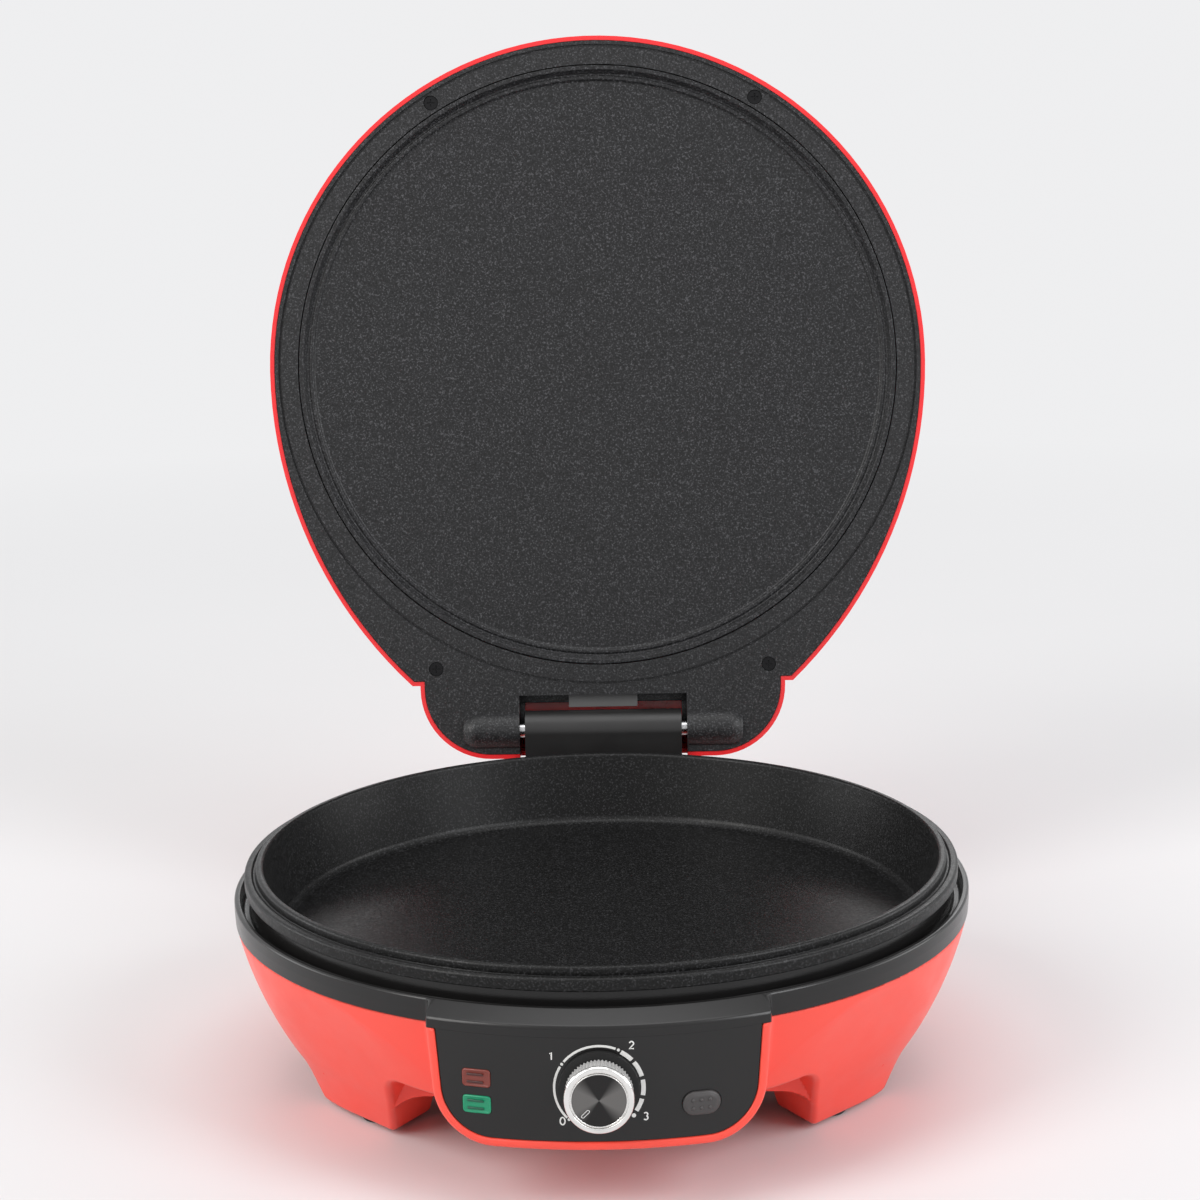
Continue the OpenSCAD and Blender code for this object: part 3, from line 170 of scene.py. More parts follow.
def weighted(obj):
    """Lets the large faces decide the shading next to small ones."""
    mod = obj.modifiers.new("even_normals", "WEIGHTED_NORMAL")
    mod.keep_sharp = True
    return obj


def loops_to_mesh(name, loops, closed_loop=True, closed_rows=False, caps=False):
    """Joins rows of points, all as long as each other, with quads."""
    n = len(loops[0])
    verts = [p for row in loops for p in row]
    faces = []
    rows = len(loops)
    for k in range(rows if closed_rows else rows - 1):
        k2 = (k + 1) % rows
        for i in range(n if closed_loop else n - 1):
            j = (i + 1) % n
            faces.append((k * n + i, k * n + j, k2 * n + j, k2 * n + i))
    if caps:
        faces.append(tuple(range(n)))
        faces.append(tuple((rows - 1) * n + i for i in range(n)))
    return new_object(name, verts, faces)


def lathe(name, profile, segments=288):
    """Turns a closed (radius, height) profile in millimetres once round the pan's axis."""
    rows = []
    for k in range(segments):
        a = 2 * math.pi * k / segments
        rows.append([from_axis(r * math.cos(a), r * math.sin(a), z) for r, z in profile])
    return weighted(tidy_mesh(loops_to_mesh(name, rows, closed_rows=True)))


def turned(name, profile, centre, segments):
    """Turns a closed (distance to the front, radius) profile round a line through centre.

    The line runs from front to back; centre is in millimetres from the pan's axis.
    """
    rows = []
    for k in range(segments):
        a = 2 * math.pi * k / segments
        row = []
        for forward, r in profile:
            step = (r * math.cos(a), -forward, r * math.sin(a))
            row.append(from_axis(*(c + s for c, s in zip(centre, step))))
        rows.append(row)
    return weighted(tidy_mesh(loops_to_mesh(name, rows, closed_rows=True)))


def swing_up(obj):
    """Moves a mesh drawn in the closed lid's place to the open lid's place."""
    obj.data.transform(LID)
    return obj


def joined(name, objs):
    """Joins the meshes of several new objects into one."""
    bm = bmesh.new()
    for obj in objs:
        bm.from_mesh(obj.data)
        bpy.data.objects.remove(obj)
    mesh = bpy.data.meshes.new(name)
    bm.to_mesh(mesh)
    bm.free()
    obj = bpy.data.objects.new(name, mesh)
    SCENE.collection.objects.link(obj)
    return obj


def skin(name, node, angle=35.0):
    """A copy of a CAD node's mesh that is shaded smooth."""
    mesh = NODES[node].data.copy()
    mesh.name = name
    if mesh.attributes.get("custom_normal"):
        mesh.attributes.remove(mesh.attributes["custom_normal"])
    obj = bpy.data.objects.new(name, mesh)
    SCENE.collection.objects.link(obj)
    return tidy_mesh(obj, angle)


def body_of(node):
    """The moving body that a CAD node belongs to."""
    for body, members in frame["record"]["behaviour"]["bodies"].items():
        if node in members:
            return body
    raise KeyError(node)


def extra(obj, node, material=None):
    """Gives a piece its material and lets it ride with the CAD node that carries it."""
    obj.data.materials.clear()
    obj.data.materials.append(material or MAT[SLOTS[node]])
    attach(obj, body_of(node))


def stands_for(obj, node, material=None):
    """Gives a piece its material and its body, and hides the CAD node that it stands for."""
    extra(obj, node, material)
    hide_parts(node)


# ---- Solids from distance functions ----

SETTLE_ROUNDS = 4
SLOPE_STEP = 0.05
LEAST_SLOPE_SQUARED = 0.05
# The longest move in one round, as a share of the grid's step
LONGEST_MOVE = 0.4


def soft_cut(a, b, r):
    """What lies inside both, with the edge between them rounded by r."""
    return np.minimum(-r, np.maximum(a, b)) + np.hypot(np.maximum(r + a, 0), np.maximum(r + b, 0))


def soft_join(a, b, r):
    """What lies inside either, with the corner between them filled by a curve of radius r."""
    return np.maximum(r, np.minimum(a, b)) - np.hypot(np.maximum(r - a, 0), np.maximum(r - b, 0))


def spaced(*spans):
    """Grid lines along an axis from spans of (start, end, step) that follow each other."""
    lines = []
    for start, end, step in spans:
        count = max(1, round((end - start) / step))
        lines += [start + (end - start) * k / count for k in range(count)]
    return np.array(lines + [spans[-1][1]], np.float32)


def grid_surface(distance, axes):
    """Vertices and quads of the surface where distance(x, y, z) is zero, in millimetres.

    Each cell that the surface passes through gets one vertex, and each grid line that it
    crosses gets one quad between the four cells around it.
    """
    shape = [len(a) for a in axes]
    value = np.empty(shape, np.float32)
    flat_x, flat_y = np.meshgrid(axes[0], axes[1], indexing="ij")
    for k, z in enumerate(axes[2]):
        value[:, :, k] = distance(flat_x, flat_y, np.full_like(flat_x, z))
    inside = value < 0
    cells = [n - 1 for n in shape]
    total = np.zeros(cells + [3], np.float32)
    count = np.zeros(cells, np.int32)

    def corner(array, o):
        return array[o[0]:o[0] + cells[0], o[1]:o[1] + cells[1], o[2]:o[2] + cells[2]]

    # The mean of the points where the surface crosses a cell's edges
    for axis in range(3):
        others = [i for i in range(3) if i != axis]
        for p in (0, 1):
            for q in (0, 1):
                a = [0, 0, 0]
                a[others[0]], a[others[1]] = p, q
                b = list(a)
                b[axis] = 1
                crossed = corner(inside, a) != corner(inside, b)
                va, vb = corner(value, a), corner(value, b)
                t = np.where(crossed, va / np.where(crossed, va - vb, 1), 0)
                for i in range(3):
                    total[..., i] += np.where(crossed, a[i] + (t if i == axis else 0), 0)
                count += crossed
    active = count > 0
    number = np.full(cells, -1, np.int64)
    number[active] = np.arange(active.sum())
    where = np.argwhere(active)
    part = total[active] / count[active][:, None]
    verts = np.stack([
        axes[i][where[:, i]] + part[:, i] * (axes[i][where[:, i] + 1] - axes[i][where[:, i]])
        for i in range(3)
    ], 1)
    quads = []
    for axis in range(3):
        p, q = [i for i in range(3) if i != axis]
        ahead = [slice(None)] * 3
        behind = [slice(None)] * 3
        ahead[axis], behind[axis] = slice(1, None), slice(None, -1)
        change = inside[tuple(ahead)] != inside[tuple(behind)]
        at = np.argwhere(change)
        at = at[(at[:, p] > 0) & (at[:, q] > 0) & (at[:, p] < cells[p]) & (at[:, q] < cells[q])]
        ring = []
        for dp, dq in ((1, 1), (0, 1), (0, 0), (1, 0)):
            cell = at.copy()
            cell[:, p] -= dp
            cell[:, q] -= dq
            ring.append(number[tuple(cell.T)])
        quad = np.stack(ring, 1)
        flip = inside[tuple(at.T)] == (axis == 1)
        quad[flip] = quad[flip][:, ::-1]
        quads.append(quad)
    return verts, np.concatenate(quads)


def slope_at(p, distance):
    """How fast the distance grows along each axis."""
    return np.stack([
        (distance(*(p + d).T) - distance(*(p - d).T)) / (2 * SLOPE_STEP)
        for d in np.eye(3) * SLOPE_STEP
    ], 1)


def settle(verts, distance, step):
    """Moves points onto the surface where the distance is zero."""
    p = verts.astype(np.float64)
    for _ in range(SETTLE_ROUNDS):
        slope = slope_at(p, distance)
        move = -(distance(*p.T) / np.maximum((slope ** 2).sum(1), LEAST_SLOPE_SQUARED))[:, None] * slope
        size = np.linalg.norm(move, axis=1, keepdims=True)
        p += move * np.minimum(1, LONGEST_MOVE * step / np.maximum(size, 1e-9))
    return p


def unit(v):
    """Rows scaled to length one."""
    return v / np.maximum(np.linalg.norm(v, axis=1, keepdims=True), 1e-6)


def carved(name, distance, axes, step):
    """A mesh of the solid inside a distance function given about the pan's axis."""
    verts, quads = grid_surface(distance, axes)
    verts = settle(verts, distance, step)
    normals = unit(slope_at(verts, distance))
    verts = verts * MM + np.array([0, AXIS_Y, 0])
    obj = new_object(name, verts.tolist(), quads.tolist())
    obj.data.shade_smooth()
    obj.data.normals_split_custom_set_from_vertices(normals.tolist())
    return obj


# ---- Materials ----

COAT_ROUGH = 0.1
# Scales of the surface patterns, per metre
SLOW_SCALE = 14
GLOSS_SCALE = 60
GRAIN_SCALE = 650
FLECK_SCALE = 1000
BRUSH_SCALE = 900
STAIN_SCALE = 120
SPUN_SCALE = 1100
# Depths of the surface patterns, in metres
GRAIN_DEPTH = 0.00004
FLECK_DEPTH = 0.00008
BRUSH_DEPTH = 0.00002
SPUN_DEPTH = 0.00003


def base_material(name, color, rough, metallic=0.0, specular=0.5, coat=0.0):
    """A material with its even values set, and the coordinates for its patterns."""
    mat = bpy.data.materials.new(name)
    mat.use_nodes = True
    tree = mat.node_tree
    bsdf = tree.nodes["Principled BSDF"]
    bsdf.inputs["Base Color"].default_value = (*color, 1)
    bsdf.inputs["Roughness"].default_value = rough
    bsdf.inputs["Metallic"].default_value = metallic
    bsdf.inputs["Specular IOR Level"].default_value = specular
    bsdf.inputs["Coat Weight"].default_value = coat
    bsdf.inputs["Coat Roughness"].default_value = COAT_ROUGH
    coords = tree.nodes.new("ShaderNodeTexCoord")
    return mat, tree, bsdf, coords.outputs["Object"]


def noise(tree, coords, scale, detail, rough=0.55):
    """Soft random values around a half."""
    node = tree.nodes.new("ShaderNodeTexNoise")
    node.inputs["Scale"].default_value = scale
    node.inputs["Detail"].default_value = detail
    node.inputs["Roughness"].default_value = rough
    tree.links.new(coords, node.inputs["Vector"])
    return node.outputs["Fac"]


def ramp(tree, value, stops):
    """Colours for a value, from (value, colour) stops."""
    node = tree.nodes.new("ShaderNodeValToRGB")
    ends = node.color_ramp.elements
    while len(ends) < len(stops):
        ends.new(0.5)
    for e, (at, color) in zip(ends, stops):
        e.position = at
        e.color = (*color, 1)
    tree.links.new(value, node.inputs["Fac"])
    return node.outputs["Color"]


def span(tree, value, low, high, start=0.3, end=0.7):
    """Maps a value between start and end to a range."""
    node = tree.nodes.new("ShaderNodeMapRange")
    node.inputs["From Min"].default_value = start
    node.inputs["From Max"].default_value = end
    node.inputs["To Min"].default_value = low
    node.inputs["To Max"].default_value = high
    tree.links.new(value, node.inputs["Value"])
    return node.outputs["Result"]


def bump(tree, bsdf, value, strength, depth):
    """Relief that only changes the shading."""
    node = tree.nodes.new("ShaderNodeBump")
    node.inputs["Strength"].default_value = strength
    node.inputs["Distance"].default_value = depth
    tree.links.new(value, node.inputs["Height"])
    tree.links.new(node.outputs["Normal"], bsdf.inputs["Normal"])


def plastic(name, color, rough, tint=0.12, grain=0.15, coat=0.0, specular=0.5):
    """Moulded plastic: a slow change of colour, a fine grain and a slight change of gloss."""
    mat, tree, bsdf, at = base_material(name, color, rough, coat=coat, specular=specular)
    slow = noise(tree, at, SLOW_SCALE, 2)
    low = [c * (1 - tint) for c in color]
    high = [min(1.0, c * (1 + tint)) for c in color]
    tree.links.new(ramp(tree, slow, [(0.3, low), (0.7, high)]), bsdf.inputs["Base Color"])
    fine = noise(tree, at, GRAIN_SCALE, 2)
    uneven = span(tree, noise(tree, at, GLOSS_SCALE, 3), rough * 0.9, rough * 1.12)
    tree.links.new(uneven, bsdf.inputs["Roughness"])
    bump(tree, bsdf, fine, grain, GRAIN_DEPTH)
    return mat


def speckled(name, dark, mid, bright, rough, specular):
    """A coating with fine flecks in it."""
    mat, tree, bsdf, at = base_material(name, mid, rough, specular=specular)
    fleck = noise(tree, at, FLECK_SCALE, 2, 0.7)
    stops = [(0.36, dark), (0.46, mid), (0.54, mid), (0.68, bright)]
    tree.links.new(ramp(tree, fleck, stops), bsdf.inputs["Base Color"])
    uneven = span(tree, noise(tree, at, FLECK_SCALE * 0.6, 2), rough * 0.82, rough * 1.2)
    tree.links.new(uneven, bsdf.inputs["Roughness"])
    bump(tree, bsdf, fleck, 0.5, FLECK_DEPTH)
    return mat


def metal(name, color, rough, streak=None):
    """Plated or brushed metal with fine uneven gloss, brushed along one axis if streak is given."""
    mat, tree, bsdf, at = base_material(name, color, rough, metallic=1.0)
    if streak:
        stretch = tree.nodes.new("ShaderNodeMapping")
        stretch.inputs["Scale"].default_value = streak
        tree.links.new(at, stretch.inputs["Vector"])
        at = stretch.outputs["Vector"]
    fine = noise(tree, at, BRUSH_SCALE, 3)
    tree.links.new(span(tree, fine, rough * 0.75, rough * 1.3), bsdf.inputs["Roughness"])
    low = [c * 0.88 for c in color]
    slow = noise(tree, at, STAIN_SCALE, 3)
    tree.links.new(ramp(tree, slow, [(0.3, low), (0.7, color)]), bsdf.inputs["Base Color"])
    bump(tree, bsdf, fine, 0.15, BRUSH_DEPTH)
    return mat


def spun_disc_with_painted_reflection(name, dark, light, rough):
    """A turned disc: fine rings round its middle, and a painted reflection in its colour, dark above and below and
    lighter at the sides.
    """
    mat, tree, bsdf, at = base_material(name, dark, rough, metallic=1.0)
    middle = (0, AXIS_Y - KNOB_FRONT * MM, KNOB_Z * MM)
    local = tree.nodes.new("ShaderNodeVectorMath")
    local.operation = "SUBTRACT"
    tree.links.new(at, local.inputs[0])
    local.inputs[1].default_value = middle
    parts = tree.nodes.new("ShaderNodeSeparateXYZ")
    tree.links.new(local.outputs[0], parts.inputs[0])

    def math_node(kind, a, b=None):
        node = tree.nodes.new("ShaderNodeMath")
        node.operation = kind
        for socket, value in zip(node.inputs, (a, b)):
            if value is None:
                continue
            if isinstance(value, (int, float)):
                socket.default_value = value
            else:
                tree.links.new(value, socket)
        return node.outputs[0]

    # The bright bow-tie of a spun disc is painted into the colour by the angle round the middle: a painted
    # reflection, lighter at the sides.
    angle = math_node("ARCTAN2", parts.outputs["Z"], parts.outputs["X"])
    painted_reflection_sector = math_node("COSINE", math_node("MULTIPLY", angle, 2.0))
    tree.links.new(
        ramp(tree, span(tree, painted_reflection_sector, 0, 1, -1.0, 1.0), [(0.25, dark), (0.8, light)]),
        bsdf.inputs["Base Color"],
    )
    rings = tree.nodes.new("ShaderNodeTexWave")
    rings.wave_type = "RINGS"
    rings.rings_direction = "Y"
    rings.inputs["Scale"].default_value = SPUN_SCALE
    tree.links.new(local.outputs[0], rings.inputs["Vector"])
    bump(tree, bsdf, rings.outputs["Fac"], 0.25, SPUN_DEPTH)
    return mat


BLACK = (0.010, 0.0095, 0.0095)
MAT = {
    "red_housing": plastic("red_housing", (0.93, 0.072, 0.045), 0.38, tint=0.03, grain=0.03, coat=0.15),
    "red_lid": plastic("red_lid", (0.80, 0.025, 0.030), 0.28, tint=0.03, grain=0.03, coat=0.15),
    "black_gloss": plastic("black_gloss", BLACK, 0.24, tint=0.1, grain=0.03, specular=0.4),
    "nonstick": speckled(
        "nonstick", (0.004, 0.004, 0.004), (0.012, 0.012, 0.013), (0.075, 0.075, 0.08), 0.38, 0.35
    ),
    "speckled_black": speckled(
        "speckled_black", (0.005, 0.005, 0.005), (0.014, 0.014, 0.015), (0.070, 0.070, 0.074), 0.44, 0.35
    ),
    "steel": metal("steel", (0.62, 0.62, 0.63), 0.25),
    "heater_steel": metal("heater_steel", (0.13, 0.115, 0.10), 0.45),
    "bright_sheet": metal("bright_sheet", (0.74, 0.74, 0.76), 0.28, (1, 14, 1)),
    "black_steel": metal("black_steel", (0.025, 0.025, 0.026), 0.36),
    "cream_plastic": plastic("cream_plastic", (0.74, 0.70, 0.58), 0.5),
    "knob_silver": plastic("knob_silver", (0.50, 0.495, 0.49), 0.28, specular=0.8),
    "knob_chrome": metal("knob_chrome", (0.88, 0.87, 0.85), 0.13),
    # The lighter of the knob face's two colours is its painted reflection.
    "knob_face": spun_disc_with_painted_reflection("knob_face", (0.035, 0.034, 0.034), (0.17, 0.165, 0.16), 0.34),
    "black_matte": plastic("black_matte", (0.012, 0.012, 0.012), 0.55, grain=0.3, specular=0.35),
    "red_lens": plastic("red_lens", (0.20, 0.035, 0.024), 0.2, grain=0.02),
    "green_lens": plastic("green_lens", (0.003, 0.27, 0.13), 0.2, grain=0.02),
    "lamp_red": plastic("lamp_red", (0.8, 0.25, 0.15), 0.2),
    "lamp_green": plastic("lamp_green", (0.35, 0.8, 0.4), 0.2),
    "board_green": plastic("board_green", (0.03, 0.2, 0.08), 0.4),
    "grey_button": plastic("grey_button", (0.050, 0.046, 0.046), 0.45, grain=0.4),
    "rubber": plastic("rubber", (0.014, 0.014, 0.014), 0.8, grain=0.5),
    "black_satin": plastic("black_satin", (0.014, 0.0135, 0.0135), 0.38, grain=0.25),
    "brass": metal("brass", (0.65, 0.48, 0.2), 0.3),
    "grey_tab": plastic("grey_tab", (0.10, 0.10, 0.10), 0.4),
}
PAN_COAT = speckled(
    "pan_coating", (0.003, 0.003, 0.003), (0.006, 0.006, 0.006), (0.040, 0.040, 0.042), 0.36, 0.22
)
# Darker copies of the two lens colours for the bars across the lenses: painted shade.
LENS_PAINTED_SHADE = {
    "power_lens": plastic("red_lens_painted_shade", (0.055, 0.010, 0.008), 0.3, grain=0.02),
    "ready_lens": plastic("green_lens_painted_shade", (0.001, 0.085, 0.045), 0.3, grain=0.02),
}
PRINT = plastic("white_print", (0.78, 0.78, 0.76), 0.5, tint=0.04)
for node, obj in NODES.items():
    obj.data.materials.clear()
    obj.data.materials.append(MAT[SLOTS[node]])


# ---- Red housing with its legs and the band round the panel ----

HOUSING_WALL = 2.5
HOUSING_TOP = RING_Z0 - GAP
UNDERSIDE = 24.0
FOOT_PAD_H = 2.0
BOWL_CURVE_R = 175.0
BOWL_AT_Z = RING_Z0 + 38
BOWL_AT_R = RING_R - 0.5 - math.sqrt(BOWL_CURVE_R ** 2 - (BOWL_AT_Z - RING_Z0) ** 2)
LEG_FOOT_R = RING_R - 32.5
LEG_IN_R = LEG_FOOT_R - 38
LEG_CURVE_R = (
    ((LEG_FOOT_R - BOWL_AT_R) ** 2 + BOWL_AT_Z ** 2 - BOWL_CURVE_R ** 2)
    / (2 * (BOWL_CURVE_R - LEG_FOOT_R + BOWL_AT_R))
)
LEG_AT_R = LEG_FOOT_R + LEG_CURVE_R
CORNER_A = math.radians(43.5)
CORNER_D = LEG_FOOT_R - 11
CORNER_LEAN = math.atan2(RING_R - CORNER_D, RING_Z0)
ARCH_LEAN = math.radians(22)
ARCH_CORNER_R = 8.0
SIDE_HALF = 50.0
REAR_HALF = 50.0
REAR_ARCH_Y = 60.0
FRONT_HALF = 95.7
FRONT_TURN = math.radians(32)
FRONT_CORNER_Y = (CORNER_D - FRONT_HALF * math.cos(CORNER_A)) / math.sin(CORNER_A)
FRONT_ARCH_Z = 40.0
COVER_HOLE_R = LEG_IN_R - 12.5
COVER_HOLE_UP = 1.0
COVER_HOLE_HALF = 4.0
FRONT_STEP_Y = COVER_HOLE_R + 11.5
BAND_W = 3.8
LEDGE_W = 2.0
BAND_HALF = 75.0
BAND_Z0 = 31.9
BAND_CORNER_R = 26.0
BAND_DRAFT = 3.0
BAND_R = PANEL_R + 1
PANEL_T = 2.4
BAND_EDGE_R = 1.7
BAND_FILLET_R = 2.5
SURROUND_BACK_R = RING_R - 25
SURROUND_BACK_Y = -0.6 * RING_R
WAY_HALF = BAND_HALF - BAND_DRAFT - BAND_CORNER_R + 12
WAY_Y0 = 11 - PANEL_R
WAY_Y1 = 51 - PANEL_R
LEG_EDGE_R = 3.0
FOOT_EDGE_R = 2.2
POCKET_EDGE_R = 0.9
PAD_CORNER_R = 9.0
PAD_EDGE_R = 2.5
PAD_FILLET_R = 3.0
PAD_HALF = 48.0
PAD_Y = HINGE_Y - 8.5
PAD_Y0 = RING_R - 55
PAD_Z0 = UNDERSIDE + 6
GLAND_AT = (26.0, 38.8)
GLAND_R = 6.6
GLAND_Y0 = RING_R - 60


def bowl_outside(x, y, z):
    """Distance outside the bowl and the legs, before the spaces between the legs are cut."""
    r = np.hypot(x, y)
    above = (r - BOWL_AT_R) * BOWL_AT_Z + (z - BOWL_AT_Z) * (LEG_AT_R - BOWL_AT_R)
    bowl = np.hypot(r - BOWL_AT_R, z - BOWL_AT_Z) - BOWL_CURVE_R
    leg = LEG_CURVE_R - np.hypot(r - LEG_AT_R, z)
    out = np.where(above > 0, bowl, leg)
    # The corners are sharp at the ring and soft at the feet
    edge_r = 0.4 + 6.6 * np.clip((HOUSING_TOP - 8 - z) / 50, 0, 1)
    for turn in (CORNER_A, math.pi - CORNER_A, math.pi + CORNER_A, -CORNER_A):
        across = x * math.cos(turn) + y * math.sin(turn)
        flat = (across - CORNER_D) * math.cos(CORNER_LEAN) - z * math.sin(CORNER_LEAN)
        out = soft_cut(out, flat, edge_r)
    pad = soft_cut(np.abs(x) - PAD_HALF, PAD_Z0 - z, PAD_CORNER_R)
    pad = np.maximum(soft_cut(pad, y - PAD_Y, PAD_EDGE_R), PAD_Y0 - y)
    return soft_cut(soft_join(out, pad, PAD_FILLET_R), FOOT_PAD_H - z, FOOT_EDGE_R)


def arches_outside(x, y, z):
    """Distance outside the spaces between the legs."""
    def leaning(out):
        return out * math.cos(ARCH_LEAN) + z * math.sin(ARCH_LEAN)

    rear = np.maximum(leaning(np.abs(x) - REAR_HALF), REAR_ARCH_Y - y)
    side = leaning(np.abs(y) - SIDE_HALF)
    front = leaning(
        (np.abs(x) - FRONT_HALF) * math.cos(FRONT_TURN) + (y + FRONT_CORNER_Y) * math.sin(FRONT_TURN)
    )
    plan = np.hypot(x, y) - LEG_IN_R
    for other in (rear, side, front):
        plan = soft_join(plan, other, LEG_EDGE_R)
    low = soft_cut(plan, z - UNDERSIDE, ARCH_CORNER_R)
    high = np.maximum(soft_cut(front, z - FRONT_ARCH_Z, ARCH_CORNER_R), y + FRONT_STEP_Y)
    return np.minimum(low, high)


def band_outside(x, z, inset=0.0):
    """Distance outside the outline of the panel's surround, seen from the front."""
    slant = math.atan2(BAND_DRAFT, BROW_Z + 10 - BAND_Z0 - BAND_CORNER_R)
    u = np.abs(x) - (BAND_HALF - BAND_DRAFT - BAND_CORNER_R)
    v = BAND_Z0 + BAND_CORNER_R - z
    side = u * math.cos(slant) + v * math.sin(slant)
    return np.where((u > 0) & (v > 0), np.hypot(u, v), np.maximum(side, v)) - BAND_CORNER_R + inset


def housing_outside(x, y, z):
    """Distance outside the whole housing."""
    r = np.hypot(x, y)
    body = soft_cut(bowl_outside(x, y, z), -arches_outside(x, y, z), LEG_EDGE_R)
    inside = body + HOUSING_WALL
    block = soft_cut(band_outside(x, z), r - BAND_R, BAND_EDGE_R)
    block = np.maximum(np.maximum(block, SURROUND_BACK_R - r), y - SURROUND_BACK_Y)
    body = soft_join(body, block, BAND_FILLET_R)
    pocket = np.maximum(band_outside(x, z, BAND_W), PANEL_R - PANEL_T - GAP - r)
    pocket = np.maximum(pocket, y - SURROUND_BACK_Y)
    body = soft_cut(body, -pocket, POCKET_EDGE_R)
    top = np.maximum(z - (BROW_UNDER - GAP), np.minimum(z - HOUSING_TOP, RING_R + GAP - r))
    body = np.maximum(body, top)
    hollow = np.maximum(band_outside(x, z, BAND_W + LEDGE_W), SURROUND_BACK_R + HOUSING_WALL - r)
    hollow = np.maximum(np.maximum(hollow, r - PANEL_R), y - SURROUND_BACK_Y)
    way = np.maximum(np.abs(x) - WAY_HALF, FRONT_ARCH_Z + HOUSING_WALL - z)
    way = np.maximum(way, np.maximum(WAY_Y0 - y, y - WAY_Y1))
    cover = np.maximum(r - COVER_HOLE_R, np.abs(z - UNDERSIDE - COVER_HOLE_UP) - COVER_HOLE_HALF)
    gland = np.maximum(np.hypot(x - GLAND_AT[0], z - GLAND_AT[1]) - GLAND_R, GLAND_Y0 - y)
    for void in (inside, hollow, way, cover, gland):
        body = np.maximum(body, -void)
    return body


def make_housing():
    """The red housing as one shell, on a grid that is finest round the corners of the band."""
    # No cell may reach through the wall, so its longest diagonal stays under the wall's thickness
    fine, coarse, middle = ((0.9, 1.05, 1.6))
    xs = spaced((-178, -80, coarse), (-80, -40, fine), (-40, 40, middle), (40, 80, fine), (80, 178, coarse))
    ys = spaced((-187, -148, fine), (-148, 190, coarse))
    zs = spaced((0.6, 28.2, coarse), (28.2, 85, fine))
    obj = carved("housing_shell", housing_outside, (xs, ys, zs), coarse)
    stands_for(obj, "base_housing")


make_housing()


# ---- Ring with its brow over the panel ----

BROW_A = math.degrees(math.asin((BAND_HALF + 1) / PANEL_R))


def ring_profile(out):
    """Section of the ring; out goes from 0 at the plain band to 1 at the brow."""
    def between(plain, brow):
        return tuple(a + (b - a) * out for a, b in zip(plain, brow))

    low = BROW_UNDER - GAP
    return rounded([
        between((RING_R - 2.8, RING_Z0, 0.3), (RING_R - 2.8, low, 0.3)),
        between((RING_R - 0.3, RING_Z0, 0.4), (PANEL_R, low, 0.1)),
        between((RING_R, 87.0, 3.0), (PANEL_R, BROW_Z, 2.4)),
        between((RING_R, RING_TOP, 1.5), (RING_R - 1, RING_TOP, 2.2)),
        (RING_R - 3, RING_TOP, 0.7),
        (RING_R - 4, TROUGH_Z, 1.2),
        (LIP_R + 3.4, TROUGH_Z, 0.8),
        (LIP_R + 2.4, LIP_TOP, 0.7),
        (LIP_R, LIP_TOP, 0.7),
        (LIP_R, BROW_UNDER, 0.4),
        (RING_R - 5.8, BROW_UNDER, 0.3),
    ])


def make_ring():
    """The ring, whose section eases out to the brow over the panel."""
    ease_deg = 0.9
    plain_steps, brow_steps, ease_steps = 250, 60, 8
    turns = [BROW_A + (360 - 2 * BROW_A) * k / plain_steps for k in range(1, plain_steps)]
    turns += [-BROW_A + 2 * BROW_A * k / brow_steps for k in range(1, brow_steps)]
    for side in (-1, 1):
        turns += [
            side * (BROW_A + ease_deg * k / ease_steps) for k in range(-ease_steps, ease_steps + 1)
        ]
    rows = []
    for t in sorted(set(round(t % 360, 4) for t in turns)):
        away = min(t, 360 - t) - BROW_A
        u = min(1, max(0, 0.5 - away / (2 * ease_deg)))
        a = math.radians(270 + t)
        rows.append([
            from_axis(r * math.cos(a), r * math.sin(a), z)
            for r, z in ring_profile(u * u * (3 - 2 * u))
        ])
    obj = weighted(tidy_mesh(loops_to_mesh("ring_and_brow", rows, closed_rows=True)))
    stands_for(obj, "base_ring")


make_ring()


# ---- Pan and upper plate ----

def make_pan():
    """The deep pan with its flange and the bead on its rim."""
    flange = PAN_TOP - 3.4
    under = PAN_TOP - PAN_DEPTH - PAN_WALL
    floor = PAN_TOP - PAN_DEPTH
    profile = rounded([
        (0, under, 0), (FLOOR_R + 3.6, under, 3), (RIM_R + 1, flange - 8, 2),
        (RIM_R + 1.8, flange - PAN_WALL, 0.8), (FLANGE_R - PAN_WALL, flange - PAN_WALL, 0.6),
        (FLANGE_R - PAN_WALL, flange - 6, 0.4), (FLANGE_R, flange - 6, 0.7), (FLANGE_R, flange, 1.6),
        (FLANGE_R - 3.4, flange, 0.8), (FLANGE_R - 4.1, flange - 0.9, 0.4),
        (RIM_R + 3.8, flange - 0.9, 0.7), (RIM_R + 3.6, PAN_TOP, 1.5),
        (RIM_R + 0.1, PAN_TOP, 1.5), (RIM_R - 1, PAN_TOP - 5.2, 2),
        (FLOOR_R + 3.2, floor, 4.5), (0, floor, 0),
    ])
    stands_for(lathe("pan_body", profile), "pan", PAN_COAT)


